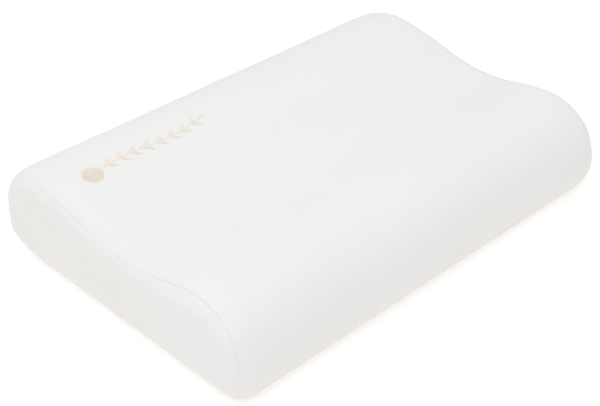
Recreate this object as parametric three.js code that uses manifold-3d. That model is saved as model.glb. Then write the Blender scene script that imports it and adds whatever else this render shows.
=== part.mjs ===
// A contour bed pillow: a foam block with a high back lobe, a valley and a lower front lobe, in a jersey
// liner and a knitted cover that opens with a zip along its back face.
// Millimetres. X runs along the pillow, -Y is its front, +Y its back and +Z is up. The origin lies on the
// underside, below the middle of the pillow.
import * as THREE from "three";
import { mergeVertices } from "three/addons/utils/BufferGeometryUtils.js";
import Module from "manifold-3d";

// Finished pillow, over the cover
const LENGTH = 600;
const WIDTH = 410;
const BACK_LOBE_HEIGHT = 124;
const VALLEY_HEIGHT = 98;
const FRONT_LOBE_HEIGHT = 110;
const FRONT_CREST_FROM_FRONT = 75;
const VALLEY_FROM_FRONT = 177;
const BACK_CREST_FROM_BACK = 78;
const END_ROUND = 27; // rounding all round each end face

// Lower long edges: how far each rounding reaches under the pillow, and how far it rises
const FRONT_FOOT_REACH = 32;
const FRONT_FOOT_RISE = 34;
const BACK_FOOT_REACH = 72;
const FRONT_SQUARENESS = 2.2; // 2 is a true ellipse, and more is squarer
const BACK_SQUARENESS = 2;

// Layers, from the outside in
const COVER_THICKNESS = 2;
const LINER_CLEARANCE = 0.65; // between the liner and the room that the zip takes up inside the cover
const LINER_THICKNESS = 0.8;
const LINER_EASE = 0.5;
const SEAM_ANGLE = 45; // degrees round the end's rounding, from the end face
const SEAM_GAP = 0.4;

// Zip along the back face
const ZIP_HEIGHT = 47; // middle of the zip above the underside
const BAND_MARGIN = 0.25; // straight back face past the outer edge of each tape
const ZIP_END_MARGIN = 50; // closed seam left between each end of the opening and the pillow's end
const ZIP_SLOT = 12; // width of the opening between the folded edges of the cover
const TAPE_WIDTH = 12;
const TAPE_THICKNESS = 0.6;
const TAPE_TURN_IN = 12; // tape past each end of the opening
const COIL_RADIUS = 1.25;
const STOP_LENGTH = 3;
const STOP_MARGIN = 1;
const SLIDER_LENGTH = 12;
const SLIDER_PLATE = 1;
const SLIDER_MOUTH_FLARE = 0.8; // extra half width of the plates at the mouth
const SLIDER_BACK_PLATE = 0.7;
const SLIDER_FLANGE = 0.8;
const DIVIDER_THICKNESS = 0.8;
const DIVIDER_LENGTH = 4;
const BAIL_LENGTH = 7.2;
const BAIL_WIDTH = 2;
const BAIL_WALL = 0.9;
const BAIL_OPENING = 2.4;
const TAB_LENGTH = 24;
const TAB_WIDTH = 7;
const TAB_THICKNESS = 1.2;
const TAB_ARM = 1.6;
const TAB_GRIP_HOLE = 1.6; // radius of the hole near the tab's free end
const ZIP_CLEARANCE = 0.35; // between pieces of the zip that lie on or run past each other
const BAIL_CLEARANCE = 0.5; // between the tab's arms and the bail they straddle

// Sewn-on trim
const LABEL_WIDTH = 30;
const LABEL_DROP = 27;
const LABEL_THICKNESS = 0.6;
const LABEL_FROM_END = 100; // from the left end to the label's middle
const TRIM_GAP = 0.35;
const SPRIG_LENGTH = 160;
const SPRIG_FROM_END = 45; // from the left end to the bud
const SPRIG_FROM_CREST = 32; // in front of the back crest
const SPRIG_RISE = 9; // how much nearer the crest the stem's tip is than the bud
const SPRIG_SWAY = 4; // how far the stem swings to each side of its line
const SPRIG_THICKNESS = 0.6;
const STEM_WIDTH = 1.8;
const LEAF_PAIRS = 8;
const LEAF_LENGTH = 15;
const LEAF_WIDTH = 5;
const LEAF_LEAN = 38; // degrees between a leaf and the stem
const BUD_RADIUS = 12.5;

// Steps along each curve
const ROUND_STEPS = 6;
const LOBE_STEPS = 9;
const WAVE_STEPS = 8;
const END_STEPS = 3;

const radians = THREE.MathUtils.degToRad;
const wasm = await Module();
wasm.setup();

// ---- Shared shape of the pillow ---------------------------------------------------------------------

const front = -WIDTH / 2;
const back = WIDTH / 2;
const frontCrest = front + FRONT_CREST_FROM_FRONT;
const valley = front + VALLEY_FROM_FRONT;
const backCrest = back - BACK_CREST_FROM_BACK;
const rowEdge = DIVIDER_THICKNESS / 2 + ZIP_CLEARANCE; // from the zip's middle line to each row
const bandHalf = rowEdge + TAPE_WIDTH + BAND_MARGIN;
const bandBottom = ZIP_HEIGHT - bandHalf;
const bandTop = ZIP_HEIGHT + bandHalf;
const CORNER_LEFT = 4; // smallest corner radius that the end rounding leaves
const tightestCorner = Math.min(FRONT_FOOT_REACH, FRONT_FOOT_RISE, BACK_FOOT_REACH, bandBottom);
const endRound = Math.min(END_ROUND, tightestCorner - CORNER_LEFT);

// A quarter of a superellipse about (y, z), from one angle to another.
function corner(y, z, reach, rise, from, to, steps, squareness) {
  const bend = (v) => Math.sign(v) * Math.abs(v) ** (2 / squareness);
  return Array.from({ length: steps + 1 }, (_, i) => {
    const a = from + ((to - from) * i) / steps;
    return [y + reach * bend(Math.cos(a)), z + rise * bend(Math.sin(a))];
  });
}

// Height of the top at a fraction t of the way between two levels, level at both ends.
function swell(low, high, t) {
  return low + ((high - low) * (1 - Math.cos(Math.PI * t))) / 2;
}

function wave(y0, z0, y1, z1, steps) {
  return Array.from({ length: steps + 1 }, (_, i) => {
    const t = i / steps;
    return [y0 + (y1 - y0) * t, swell(z0, z1, t)];
  });
}

// Height of the cover's top between the valley and the back crest.
function backSlope(y) {
  return swell(VALLEY_HEIGHT, BACK_LOBE_HEIGHT, (y - valley) / (backCrest - valley));
}

// The pillow's cross section, this far inside the cover's outer face: up the front, over the lobes, down
// the back and along the underside.
function outline(inset) {
  const turn = Math.PI;
  const stretches = [
    corner(front + FRONT_FOOT_REACH, FRONT_FOOT_RISE, FRONT_FOOT_REACH - inset, FRONT_FOOT_RISE - inset,
      -turn / 2, -turn, ROUND_STEPS, FRONT_SQUARENESS),
    corner(frontCrest, FRONT_FOOT_RISE, FRONT_CREST_FROM_FRONT - inset,
      FRONT_LOBE_HEIGHT - FRONT_FOOT_RISE - inset, turn, turn / 2, LOBE_STEPS, FRONT_SQUARENESS),
    wave(frontCrest, FRONT_LOBE_HEIGHT - inset, valley, VALLEY_HEIGHT - inset, WAVE_STEPS),
    wave(valley, VALLEY_HEIGHT - inset, backCrest, BACK_LOBE_HEIGHT - inset, WAVE_STEPS),
    corner(backCrest, bandTop, BACK_CREST_FROM_BACK - inset, BACK_LOBE_HEIGHT - bandTop - inset,
      turn / 2, 0, LOBE_STEPS, BACK_SQUARENESS),
    corner(back - BACK_FOOT_REACH, bandBottom, BACK_FOOT_REACH - inset, bandBottom - inset,
      0, -turn / 2, ROUND_STEPS, BACK_SQUARENESS),
  ];
  const sameSpot = (p, q) => Math.hypot(p[0] - q[0], p[1] - q[1]) < 1e-6;
  return stretches.flat().filter((p, i, all) => i === 0 || !sameSpot(p, all[i - 1]));
}

// One ring of a layer whose outer face is `depth` inside the cover: side is -1 for the left end and 1 for
// the right, and the angle goes from 0 on the end face to 90 degrees on the long faces.
function ring(side, depth, angle) {
  const round = endRound - depth;
  const x = side * (LENGTH / 2 - depth - round * (1 - Math.cos(angle)));
  return outline(depth + round * (1 - Math.sin(angle))).map(([y, z]) => [x, y, z]);
}

function rings(side, depth, from, to) {
  return Array.from({ length: END_STEPS + 1 }, (_, i) => ring(side, depth, from + ((to - from) * i) / END_STEPS));
}

// The middle of an end face, as a ring of a single point.
function pole(side, depth) {
  return [[side * (LENGTH / 2 - depth), 0, (bandBottom + bandTop) / 2]];
}

// Skins a list of rings. With a pole at each end it closes on them, and otherwise the last ring joins the
// first.
function loft(ringList) {
  const corners = [];
  const capped = ringList[0].length === 1;
  const spans = capped ? ringList.length - 1 : ringList.length;
  for (let i = 0; i < spans; i++) {
    const a = ringList[i];
    const b = ringList[(i + 1) % ringList.length];
    const count = Math.max(a.length, b.length);
    for (let j = 0; j < count; j++) {
      const k = (j + 1) % count;
      if (b.length > 1) corners.push(a[j % a.length], b[j], b[k]);
      if (a.length > 1) corners.push(a[j], b[k % b.length], a[k]);
    }
  }
  const geometry = new THREE.BufferGeometry();
  return geometry.setAttribute("position", new THREE.Float32BufferAttribute(corners.flat(), 3));
}

// ---- Solids and booleans ----------------------------------------------------------------------------

function toSolid(geometry) {
  const bare = geometry.index ? geometry.toNonIndexed() : geometry.clone();
  bare.deleteAttribute("normal");
  bare.deleteAttribute("uv");
  const merged = mergeVertices(bare, 1e-4);
  const vertProperties = merged.attributes.position.array;
  const triVerts = new Uint32Array(merged.index.array);
  return new wasm.Manifold(new wasm.Mesh({ numProp: 3, vertProperties, triVerts }));
}

function toGeometry(solid) {
  const mesh = solid.getMesh();
  const geometry = new THREE.BufferGeometry();
  geometry.setAttribute("position", new THREE.BufferAttribute(new Float32Array(mesh.vertProperties), 3));
  geometry.setIndex(new THREE.BufferAttribute(new Uint32Array(mesh.triVerts), 1));
  return geometry.toNonIndexed();
}

function joined(geometries) {
  return toGeometry(geometries.map(toSolid).reduce((all, next) => all.add(next)));
}

// A box from its lowest to its highest corner.
function block(low, high) {
  const size = high.map((v, i) => v - low[i]);
  const middle = high.map((v, i) => (v + low[i]) / 2);
  return new THREE.BoxGeometry(...size).translate(...middle);
}

// A flat shape drawn in X and Z, with its thickness from y to y + thickness.
function plateXZ(shape, y, thickness) {
  const plate = new THREE.ExtrudeGeometry(shape, { depth: thickness, bevelEnabled: false, curveSegments: 8 });
  return plate.rotateX(Math.PI / 2).translate(0, y + thickness, 0);
}

// ---- Foam, liner and cover --------------------------------------------------------------------------

const seam = radians(SEAM_ANGLE);
const faceOn = 0;
const sideOn = Math.PI / 2;
const zipInside = TAPE_THICKNESS + SLIDER_BACK_PLATE + 3 * ZIP_CLEARANCE;
const linerDepth = COVER_THICKNESS + zipInside + LINER_CLEARANCE;
const coreDepth = linerDepth + LINER_THICKNESS + LINER_EASE;

function foamCore() {
  return loft([
    pole(-1, coreDepth),
    ...rings(-1, coreDepth, faceOn, sideOn),
    ...rings(1, coreDepth, sideOn, faceOn),
    pole(1, coreDepth),
  ]);
}

// The tube of cloth round a layer, from the seam at one end to the seam at the other.
function wrap(depth, thickness) {
  const edge = seam + SEAM_GAP / 2 / (endRound - depth - thickness);
  const inner = depth + thickness;
  return loft([
    ...rings(-1, depth, edge, sideOn),
    ...rings(1, depth, sideOn, edge),
    ...rings(1, inner, edge, sideOn),
    ...rings(-1, inner, sideOn, edge),
  ]);
}

// The panel of cloth over one end of a layer, as far as the seam.
function endPanel(side, depth, thickness) {
  const edge = seam - SEAM_GAP / 2 / (endRound - depth - thickness);
  const inner = depth + thickness;
  const outside = [pole(side, depth), ...rings(side, depth, faceOn, edge)];
  const inside = [pole(side, inner), ...rings(side, inner, faceOn, edge)];
  return loft(side < 0 ? [...outside, ...inside.reverse()] : [...inside, ...outside.reverse()]);
}

const openingHalf = LENGTH / 2 - ZIP_END_MARGIN;

function coverWrap() {
  const deep = COVER_THICKNESS + 1;
  const slot = block(
    [-openingHalf, back - deep, ZIP_HEIGHT - ZIP_SLOT / 2],
    [openingHalf, back + 1, ZIP_HEIGHT + ZIP_SLOT / 2],
  );
  return toGeometry(toSolid(wrap(0, COVER_THICKNESS)).subtract(toSolid(slot)));
}

// ---- Zip --------------------------------------------------------------------------------------------

// Levels through the zip's thickness, from the cover's inner face outwards
const tapeOuter = back - COVER_THICKNESS - ZIP_CLEARANCE;
const tapeInner = tapeOuter - TAPE_THICKNESS;
const coilBase = tapeOuter + ZIP_CLEARANCE;
const coilMiddle = coilBase + COIL_RADIUS;
const plateBase = coilMiddle + COIL_RADIUS + ZIP_CLEARANCE;
const plateTop = plateBase + SLIDER_PLATE;
const tabAxis = plateTop + BAIL_OPENING / 2;

// Distances from the zip's middle line
const coilLine = rowEdge + COIL_RADIUS;
const flangeInner = coilLine + COIL_RADIUS + ZIP_CLEARANCE;
const flangeOuter = flangeInner + SLIDER_FLANGE;

// Places along the zip
const stopOuter = openingHalf - STOP_MARGIN;
const stopInner = stopOuter - STOP_LENGTH;
const coilEnd = stopInner - ZIP_CLEARANCE;
const sliderRest = stopInner - ZIP_CLEARANCE - SLIDER_LENGTH / 2;

function zipTape(side) {
  const edges = [rowEdge, rowEdge + TAPE_WIDTH].map((away) => ZIP_HEIGHT + side * away);
  const half = openingHalf + TAPE_TURN_IN;
  return block([-half, tapeInner, Math.min(...edges)], [half, tapeOuter, Math.max(...edges)]);
}

function zipCoil(side) {
  const row = new THREE.CylinderGeometry(COIL_RADIUS, COIL_RADIUS, 2 * coilEnd, 12);
  return row.rotateZ(Math.PI / 2).translate(0, coilMiddle, ZIP_HEIGHT + side * coilLine);
}

// A stop between two distances from the middle line, at one end of the opening.
function zipStop(end, from, to) {
  const x = [end * stopInner, end * stopOuter];
  return block(
    [Math.min(...x), coilBase, ZIP_HEIGHT + Math.min(from, to)],
    [Math.max(...x), coilMiddle + COIL_RADIUS, ZIP_HEIGHT + Math.max(from, to)],
  );
}

// A slider plate, drawn round the slider's own middle, wider at its mouth, which faces the open rows.
function sliderPlate(y, thickness, halfWidth) {
  const tail = -SLIDER_LENGTH / 2;
  const mouth = SLIDER_LENGTH / 2;
  const shape = new THREE.Shape();
  shape.moveTo(tail + 1, -halfWidth);
  shape.lineTo(mouth - 2, -halfWidth - SLIDER_MOUTH_FLARE);
  shape.quadraticCurveTo(mouth, -halfWidth - SLIDER_MOUTH_FLARE, mouth, -halfWidth + 2);
  shape.lineTo(mouth, halfWidth - 2);
  shape.quadraticCurveTo(mouth, halfWidth + SLIDER_MOUTH_FLARE, mouth - 2, halfWidth + SLIDER_MOUTH_FLARE);
  shape.lineTo(tail + 1, halfWidth);
  shape.quadraticCurveTo(tail, halfWidth, tail, halfWidth - 1);
  shape.lineTo(tail, -halfWidth + 1);
  shape.quadraticCurveTo(tail, -halfWidth, tail + 1, -halfWidth);
  return plateXZ(shape, y, thickness);
}

// The arch on the slider that the tab hangs in.
function bail() {
  const half = BAIL_LENGTH / 2;
  const rise = BAIL_OPENING + BAIL_WALL;
  const sunk = SLIDER_PLATE / 2;
  const arch = new THREE.Shape();
  arch.moveTo(-half, -sunk);
  arch.lineTo(-half + BAIL_WALL, -sunk);
  arch.lineTo(-half + BAIL_WALL, BAIL_OPENING);
  arch.lineTo(half - BAIL_WALL, BAIL_OPENING);
  arch.lineTo(half - BAIL_WALL, -sunk);
  arch.lineTo(half, -sunk);
  arch.lineTo(half, rise - BAIL_WALL);
  arch.quadraticCurveTo(half, rise, half - BAIL_WALL, rise);
  arch.lineTo(-half + BAIL_WALL, rise);
  arch.quadraticCurveTo(-half, rise, -half, rise - BAIL_WALL);
  arch.closePath();
  const solid = new THREE.ExtrudeGeometry(arch, { depth: BAIL_WIDTH, bevelEnabled: false, curveSegments: 4 });
  return solid.translate(0, plateTop, -BAIL_WIDTH / 2);
}

function zipSlider() {
  const half = SLIDER_LENGTH / 2;
  const sunk = SLIDER_PLATE / 2;
  const dividerFrom = half - DIVIDER_LENGTH - 1;
  const backPlateBase = tapeInner - ZIP_CLEARANCE - SLIDER_BACK_PLATE;
  const divider = block(
    [dividerFrom, backPlateBase + SLIDER_BACK_PLATE / 2, -DIVIDER_THICKNESS / 2],
    [dividerFrom + DIVIDER_LENGTH, plateBase + sunk, DIVIDER_THICKNESS / 2],
  );
  const flanges = [-1, 1].map((side) => {
    const z = [side * flangeInner, side * flangeOuter];
    return block([-half + 1, coilBase, Math.min(...z)], [half - 2, plateBase + sunk, Math.max(...z)]);
  });
  const plates = [
    sliderPlate(plateBase, SLIDER_PLATE, flangeOuter),
    sliderPlate(backPlateBase, SLIDER_BACK_PLATE, coilLine + COIL_RADIUS),
  ];
  return joined([...plates, divider, ...flanges, bail()]).translate(0, 0, ZIP_HEIGHT);
}

// The tab lies back along the closed rows, with its end bar through the bail at the hinge line.
function pullTab() {
  const eyeHalf = BAIL_WIDTH / 2 + BAIL_CLEARANCE;
  const armHalf = eyeHalf + TAB_ARM;
  const bar = TAB_THICKNESS / 2;
  const bailReach = Math.hypot(BAIL_LENGTH / 2, BAIL_OPENING / 2 + BAIL_WALL);
  const eyeEnd = -(bailReach + BAIL_CLEARANCE);
  const shoulder = eyeEnd - 2;
  const gripHalf = TAB_WIDTH / 2;
  const end = bar - TAB_LENGTH;
  const shape = new THREE.Shape();
  shape.moveTo(bar, -armHalf);
  shape.lineTo(bar, armHalf);
  shape.lineTo(eyeEnd, armHalf);
  shape.quadraticCurveTo(shoulder, armHalf, shoulder, gripHalf);
  shape.lineTo(end + gripHalf, gripHalf);
  shape.absarc(end + gripHalf, 0, gripHalf, Math.PI / 2, (3 * Math.PI) / 2, false);
  shape.lineTo(shoulder, -gripHalf);
  shape.quadraticCurveTo(shoulder, -armHalf, eyeEnd, -armHalf);
  shape.closePath();
  const eye = new THREE.Path();
  eye.moveTo(-bar, -eyeHalf);
  eye.lineTo(eyeEnd, -eyeHalf);
  eye.lineTo(eyeEnd, eyeHalf);
  eye.lineTo(-bar, eyeHalf);
  eye.closePath();
  const grip = new THREE.Path();
  grip.absarc(end + gripHalf, 0, TAB_GRIP_HOLE, 0, 2 * Math.PI, true);
  shape.holes.push(eye, grip);
  return plateXZ(shape, tabAxis - bar, TAB_THICKNESS).translate(0, 0, ZIP_HEIGHT);
}

// ---- Trim -------------------------------------------------------------------------------------------

function careLabel() {
  const middle = -LENGTH / 2 + LABEL_FROM_END;
  const top = ZIP_HEIGHT - ZIP_SLOT / 2 - TRIM_GAP;
  const face = back + TRIM_GAP;
  return block(
    [middle - LABEL_WIDTH / 2, face, top - LABEL_DROP],
    [middle + LABEL_WIDTH / 2, face + LABEL_THICKNESS, top],
  );
}

// The stem's line: distance along it from 0 at the bud to 1 at the tip.
function stemPoint(t) {
  return [t * SPRIG_LENGTH, SPRIG_RISE * t + SPRIG_SWAY * Math.sin(2 * Math.PI * t)];
}

function stemDirection(t) {
  const rise = SPRIG_RISE + 2 * Math.PI * SPRIG_SWAY * Math.cos(2 * Math.PI * t);
  return Math.atan2(rise, SPRIG_LENGTH);
}

function flatSolid(points) {
  const shape = new THREE.Shape(points.map(([x, y]) => new THREE.Vector2(x, y)));
  return new THREE.ExtrudeGeometry(shape, { depth: SPRIG_THICKNESS, bevelEnabled: false });
}

function stem() {
  const steps = 24;
  const side = (sign) =>
    Array.from({ length: steps + 1 }, (_, i) => {
      const t = i / steps;
      const [x, y] = stemPoint(t);
      const a = stemDirection(t);
      const half = (sign * STEM_WIDTH) / 2;
      return [x - half * Math.sin(a), y + half * Math.cos(a)];
    });
  return flatSolid([...side(-1), ...side(1).reverse()]);
}

// A leaf that grows from the stem at t, leaning off it to one side, or straight on with side 0.
function leaf(t, side) {
  const [x, y] = stemPoint(t);
  const direction = stemDirection(t) + side * radians(LEAF_LEAN);
  const steps = 6;
  const edge = (sign) =>
    Array.from({ length: steps }, (_, i) => {
      const s = i / steps;
      const reach = sign > 0 ? s : 1 - s;
      const half = (sign * LEAF_WIDTH * Math.sin(Math.PI * reach ** 0.8)) / 2;
      const along = LEAF_LENGTH * reach;
      return [
        x + along * Math.cos(direction) + half * Math.sin(direction),
        y + along * Math.sin(direction) - half * Math.cos(direction),
      ];
    });
  return flatSolid([...edge(1), ...edge(-1)]);
}

function bud() {
  const sides = 20;
  const points = Array.from({ length: sides }, (_, i) => {
    const a = (2 * Math.PI * i) / sides;
    return [BUD_RADIUS * Math.cos(a), BUD_RADIUS * Math.sin(a)];
  });
  return flatSolid(points);
}

// A stitched sprig: one connected solid, drawn flat and then laid on the slope of the back lobe.
function sprig() {
  const lastLeaf = 1 - STEM_WIDTH / SPRIG_LENGTH;
  const pieces = [bud(), stem(), leaf(lastLeaf, 0)];
  for (let pair = 0; pair < LEAF_PAIRS; pair++) {
    const t = (pair + 1.2) / (LEAF_PAIRS + 1);
    pieces.push(leaf(t, -1), leaf(t, 1));
  }
  const flat = joined(pieces);
  const position = flat.attributes.position;
  const x0 = -LENGTH / 2 + SPRIG_FROM_END + BUD_RADIUS;
  const y0 = backCrest - SPRIG_FROM_CREST;
  for (let i = 0; i < position.count; i++) {
    const y = y0 + position.getY(i);
    position.setXYZ(i, x0 + position.getX(i), y, backSlope(y) + TRIM_GAP + position.getZ(i));
  }
  return flat;
}

// ---- Assembly ---------------------------------------------------------------------------------------

const materials = {
  foam: new THREE.MeshStandardMaterial({ color: 0xf2e9cf, roughness: 0.95, metalness: 0 }),
  jersey: new THREE.MeshStandardMaterial({ color: 0xf7f7f5, roughness: 0.9, metalness: 0 }),
  knit: new THREE.MeshStandardMaterial({ color: 0xf1f0ee, roughness: 0.85, metalness: 0 }),
  tape: new THREE.MeshStandardMaterial({ color: 0xf4f3f0, roughness: 0.8, metalness: 0 }),
  nylon: new THREE.MeshStandardMaterial({ color: 0xf6f5f2, roughness: 0.4, metalness: 0 }),
  enamel: new THREE.MeshStandardMaterial({ color: 0xefeeeb, roughness: 0.35, metalness: 0.4 }),
  label: new THREE.MeshStandardMaterial({ color: 0xfafaf8, roughness: 0.6, metalness: 0 }),
  thread: new THREE.MeshStandardMaterial({ color: 0xe0d6c6, roughness: 0.6, metalness: 0 }),
};

const pillow = new THREE.Group();

function add(name, geometry, material, x = 0) {
  const mesh = new THREE.Mesh(geometry, material);
  mesh.name = name;
  mesh.position.x = x;
  pillow.add(mesh);
}

add("foam_core", foamCore(), materials.foam);

add("liner_wrap", wrap(linerDepth, LINER_THICKNESS), materials.jersey);
add("liner_end_left", endPanel(-1, linerDepth, LINER_THICKNESS), materials.jersey);
add("liner_end_right", endPanel(1, linerDepth, LINER_THICKNESS), materials.jersey);

add("cover_wrap", coverWrap(), materials.knit);
add("cover_end_left", endPanel(-1, 0, COVER_THICKNESS), materials.knit);
add("cover_end_right", endPanel(1, 0, COVER_THICKNESS), materials.knit);

add("zip_tape_upper", zipTape(1), materials.tape);
add("zip_tape_lower", zipTape(-1), materials.tape);
add("zip_coil_upper", zipCoil(1), materials.nylon);
add("zip_coil_lower", zipCoil(-1), materials.nylon);
add("zip_top_stop_upper", zipStop(1, rowEdge, flangeInner), materials.enamel);
add("zip_top_stop_lower", zipStop(1, -rowEdge, -flangeInner), materials.enamel);
add("zip_bottom_stop", zipStop(-1, -flangeInner, flangeInner), materials.enamel);
add("zip_slider", zipSlider(), materials.enamel, sliderRest);
add("zip_pull_tab", pullTab(), materials.enamel, sliderRest);

add("care_label", careLabel(), materials.label);
add("embroidered_sprig", sprig(), materials.thread);

export default pillow;
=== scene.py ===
"""A contour bed pillow in a knitted, zipped cover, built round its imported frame.

Laid out as an add-on and run as a script. Metres; X runs along the pillow, -Y is its front, +Y its back.
"""

import math

import bmesh
import bpy
import numpy as np
from mathutils import Matrix, Vector
from mathutils.bvhtree import BVHTree
from mathutils.kdtree import KDTree


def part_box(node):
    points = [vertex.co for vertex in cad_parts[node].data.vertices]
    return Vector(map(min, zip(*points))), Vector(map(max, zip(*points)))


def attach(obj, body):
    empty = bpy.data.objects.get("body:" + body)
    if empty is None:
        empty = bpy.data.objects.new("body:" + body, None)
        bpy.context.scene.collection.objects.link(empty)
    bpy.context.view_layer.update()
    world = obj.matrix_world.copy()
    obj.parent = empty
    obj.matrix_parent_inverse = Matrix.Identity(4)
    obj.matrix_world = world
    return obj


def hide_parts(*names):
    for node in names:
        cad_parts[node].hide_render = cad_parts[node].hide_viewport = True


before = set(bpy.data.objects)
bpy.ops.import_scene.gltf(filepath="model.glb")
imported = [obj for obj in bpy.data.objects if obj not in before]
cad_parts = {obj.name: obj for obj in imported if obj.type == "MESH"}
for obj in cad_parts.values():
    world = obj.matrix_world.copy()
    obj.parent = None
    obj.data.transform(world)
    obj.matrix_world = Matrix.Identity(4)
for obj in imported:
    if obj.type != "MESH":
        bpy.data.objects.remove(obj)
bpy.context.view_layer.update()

bl_info = {
    "name": "Contour Pillow",
    "version": (1, 0, 0),
    "blender": (4, 5, 0),
    "location": "3D View > Sidebar > Pillow",
    "description": "Builds a zipped contour pillow round its frame",
    "category": "Object",
}

MM = 0.001
BODY = "pillow"
SEED = 7


# ---- Sizes read from the frame ------------------------------------------------------------------------

def node_box(name):
    low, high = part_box(name)
    return np.array(low), np.array(high)


WRAP_LOW, WRAP_HIGH = node_box("cover_wrap")
LENGTH = float(node_box("cover_end_right")[1][0] - node_box("cover_end_left")[0][0])
WIDTH = float(WRAP_HIGH[1] - WRAP_LOW[1])
BACK_LOBE = float(WRAP_HIGH[2])
LINER_DEPTH = float(WRAP_HIGH[1] - node_box("liner_wrap")[1][1])
CORE_DEPTH = float(WRAP_HIGH[1] - node_box("foam_core")[1][1])
TAPE_UPPER = node_box("zip_tape_upper")
TAPE_LOWER = node_box("zip_tape_lower")
COIL_UPPER = node_box("zip_coil_upper")
COIL_LOWER = node_box("zip_coil_lower")
LABEL = node_box("care_label")
SPRIG = node_box("embroidered_sprig")
ZIP_HEIGHT = float(TAPE_UPPER[0][2] + TAPE_LOWER[1][2]) / 2

# Stations of the changes to the end seam, as Section counts them, and how far each change reaches.
CLIMB_AT, CLIMB_REACH = 1.95, 0.7
CREASE_AT, CREASE_REACH = 0.72, 0.3
# Rings beside the seam: how many millimetres off it each lies, and what share of its depth it has sunk.
SEAM_ROLL = ((3.8, 0.0), (2.7, 0.06), (1.8, 0.22), (1.0, 0.52), (0.4, 0.84), (0.0, 1.0))
SEAM_CLEAR = 4.6 * MM
FACE_MIDDLE = 60 * MM  # from the end seams to the middle of an end
FLOOR_FADE = 6 * MM  # height over which the floor's hold on the cover fades
BAND = 5  # the stretch of the section that is the straight back face
LABEL_THICK, LABEL_GAP = 0.18 * MM, 0.3 * MM
SOFTBOX_AT, SOFTBOX_SIDE = (-0.55, -0.2, 2.5), 3.2


def length_property(name, text, default):
    return bpy.props.FloatProperty(
        name=name, description=text, default=default, min=0, unit="LENGTH", precision=5
    )


def amount_property(name, text, default, low=0.0, high=1000.0):
    return bpy.props.FloatProperty(
        name=name, description=text, default=default, min=low, max=high, precision=4
    )


def angle_property(name, text, degrees):
    return bpy.props.FloatProperty(
        name=name, description=text, default=math.radians(degrees), subtype="ANGLE"
    )


def count_property(name, text, default, low=1):
    return bpy.props.IntProperty(name=name, description=text, default=default, min=low)


def colour_property(name, text, default):
    return bpy.props.FloatVectorProperty(
        name=name, description=text, default=default, size=3, subtype="COLOR", min=0, max=1
    )


class PillowSection(bpy.types.PropertyGroup):
    """The cross section of the finished pillow."""

    back_lobe: length_property("Back lobe", "Height of the back lobe", BACK_LOBE)
    valley: length_property("Valley", "Height of the valley", 98 * MM)
    front_lobe: length_property("Front lobe", "Height of the front lobe", 110 * MM)
    front_crest: length_property("Front crest", "Front face to the front crest", 75 * MM)
    valley_place: length_property("Valley place", "Front face to the valley", 177 * MM)
    back_crest: length_property("Back crest", "Back face to the back crest", 78 * MM)
    foot_reach: length_property("Front foot reach", "Front rounding, under the pillow", 32 * MM)
    foot_rise: length_property("Front foot rise", "Front rounding, up the face", 34 * MM)
    back_foot: length_property("Back foot reach", "Back rounding, under the pillow", 72 * MM)
    band_bottom: length_property("Band bottom", "Lower end of the straight back face", 34 * MM)
    band_top: length_property("Band top", "Upper end of the straight back face", 60 * MM)
    squareness: amount_property("Squareness", "2 is a true ellipse, more is squarer", 2.2, 1.5, 4)
    end_round: length_property("End rounding", "Radius round each end face", 27 * MM)


class PillowCloth(bpy.types.PropertyGroup):
    """The knitted cover and the liner."""

    thickness: length_property("Cover thickness", "Thickness of the knit", 2 * MM)
    liner: length_property("Liner thickness", "Thickness of the jersey", 0.8 * MM)
    seam_angle: angle_property("Seam angle", "Place of the end seam on the rounding, from the end face", 45)
    seam_climb: angle_property("Seam climb", "How much higher the seam runs over the front lobe", 16)
    groove: length_property("Groove", "How far the seam pulls the cloth in", 0.3 * MM)
    foot_crease: length_property("Foot crease", "Extra depth of the seam at the front foot", 0.7 * MM)
    pucker: length_property("Pucker", "Height of the ripples beside a seam", 0.5 * MM)
    drag: length_property("Drag", "Height of the long soft ripples off a seam", 0.9 * MM)
    unevenness: length_property("Unevenness", "Height of the slow waves over the whole cover", 0.5 * MM)
    grid: length_property("Grid", "Spacing of the finished cloth's mesh", 3.6 * MM)
    sim_grid: length_property("Draped grid", "Voxel size of the simulated cloth", 6.5 * MM)
    most_move: length_property("Most move", "Furthest that the drape may move a point", 5 * MM)
    slack: amount_property("Slack", "How much longer the cloth is than the foam, as a share", 0.004)
    seam_pull: amount_property("Seam pull", "How much the end seams draw the cloth in, as a share", 0.05)
    pressure: amount_property("Pressure", "Outward push of the foam while the cover is draped", 0.8)
    frames: count_property("Frames", "Steps that the drape runs for", 18, 2)
    smoothing: count_property("Smoothing", "Times the drape is evened out", 3, 0)
    slot: length_property("Zip slot", "Opening between the cover's folded edges", 12 * MM)
    end_margin: length_property("Zip margin", "Closed seam past each end of the slot", 50 * MM)
    colour: colour_property("Knit", "Colour of the knit", (0.832, 0.84, 0.847))
    wale: length_property("Wale", "Width of one column of the knit", 1.5 * MM)
    course: length_property("Course", "Height of one row of the knit", 1.25 * MM)


class PillowZip(bpy.types.PropertyGroup):
    """The coil zip."""

    pitch: length_property("Pitch", "Distance between turns of the coil", 1.5 * MM)
    wire: length_property("Wire", "Radius of the coil's wire", 0.34 * MM)
    head_gap: length_property("Head gap", "From the zip's line to the coil's heads", 0.5 * MM)
    stitch: length_property("Stitch", "Length of a top stitch", 3.2 * MM)
    thread: length_property("Thread", "Radius of the sewing thread", 0.24 * MM)
    colour: colour_property("Zip", "Colour of the zip", (0.86, 0.855, 0.84))


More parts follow.
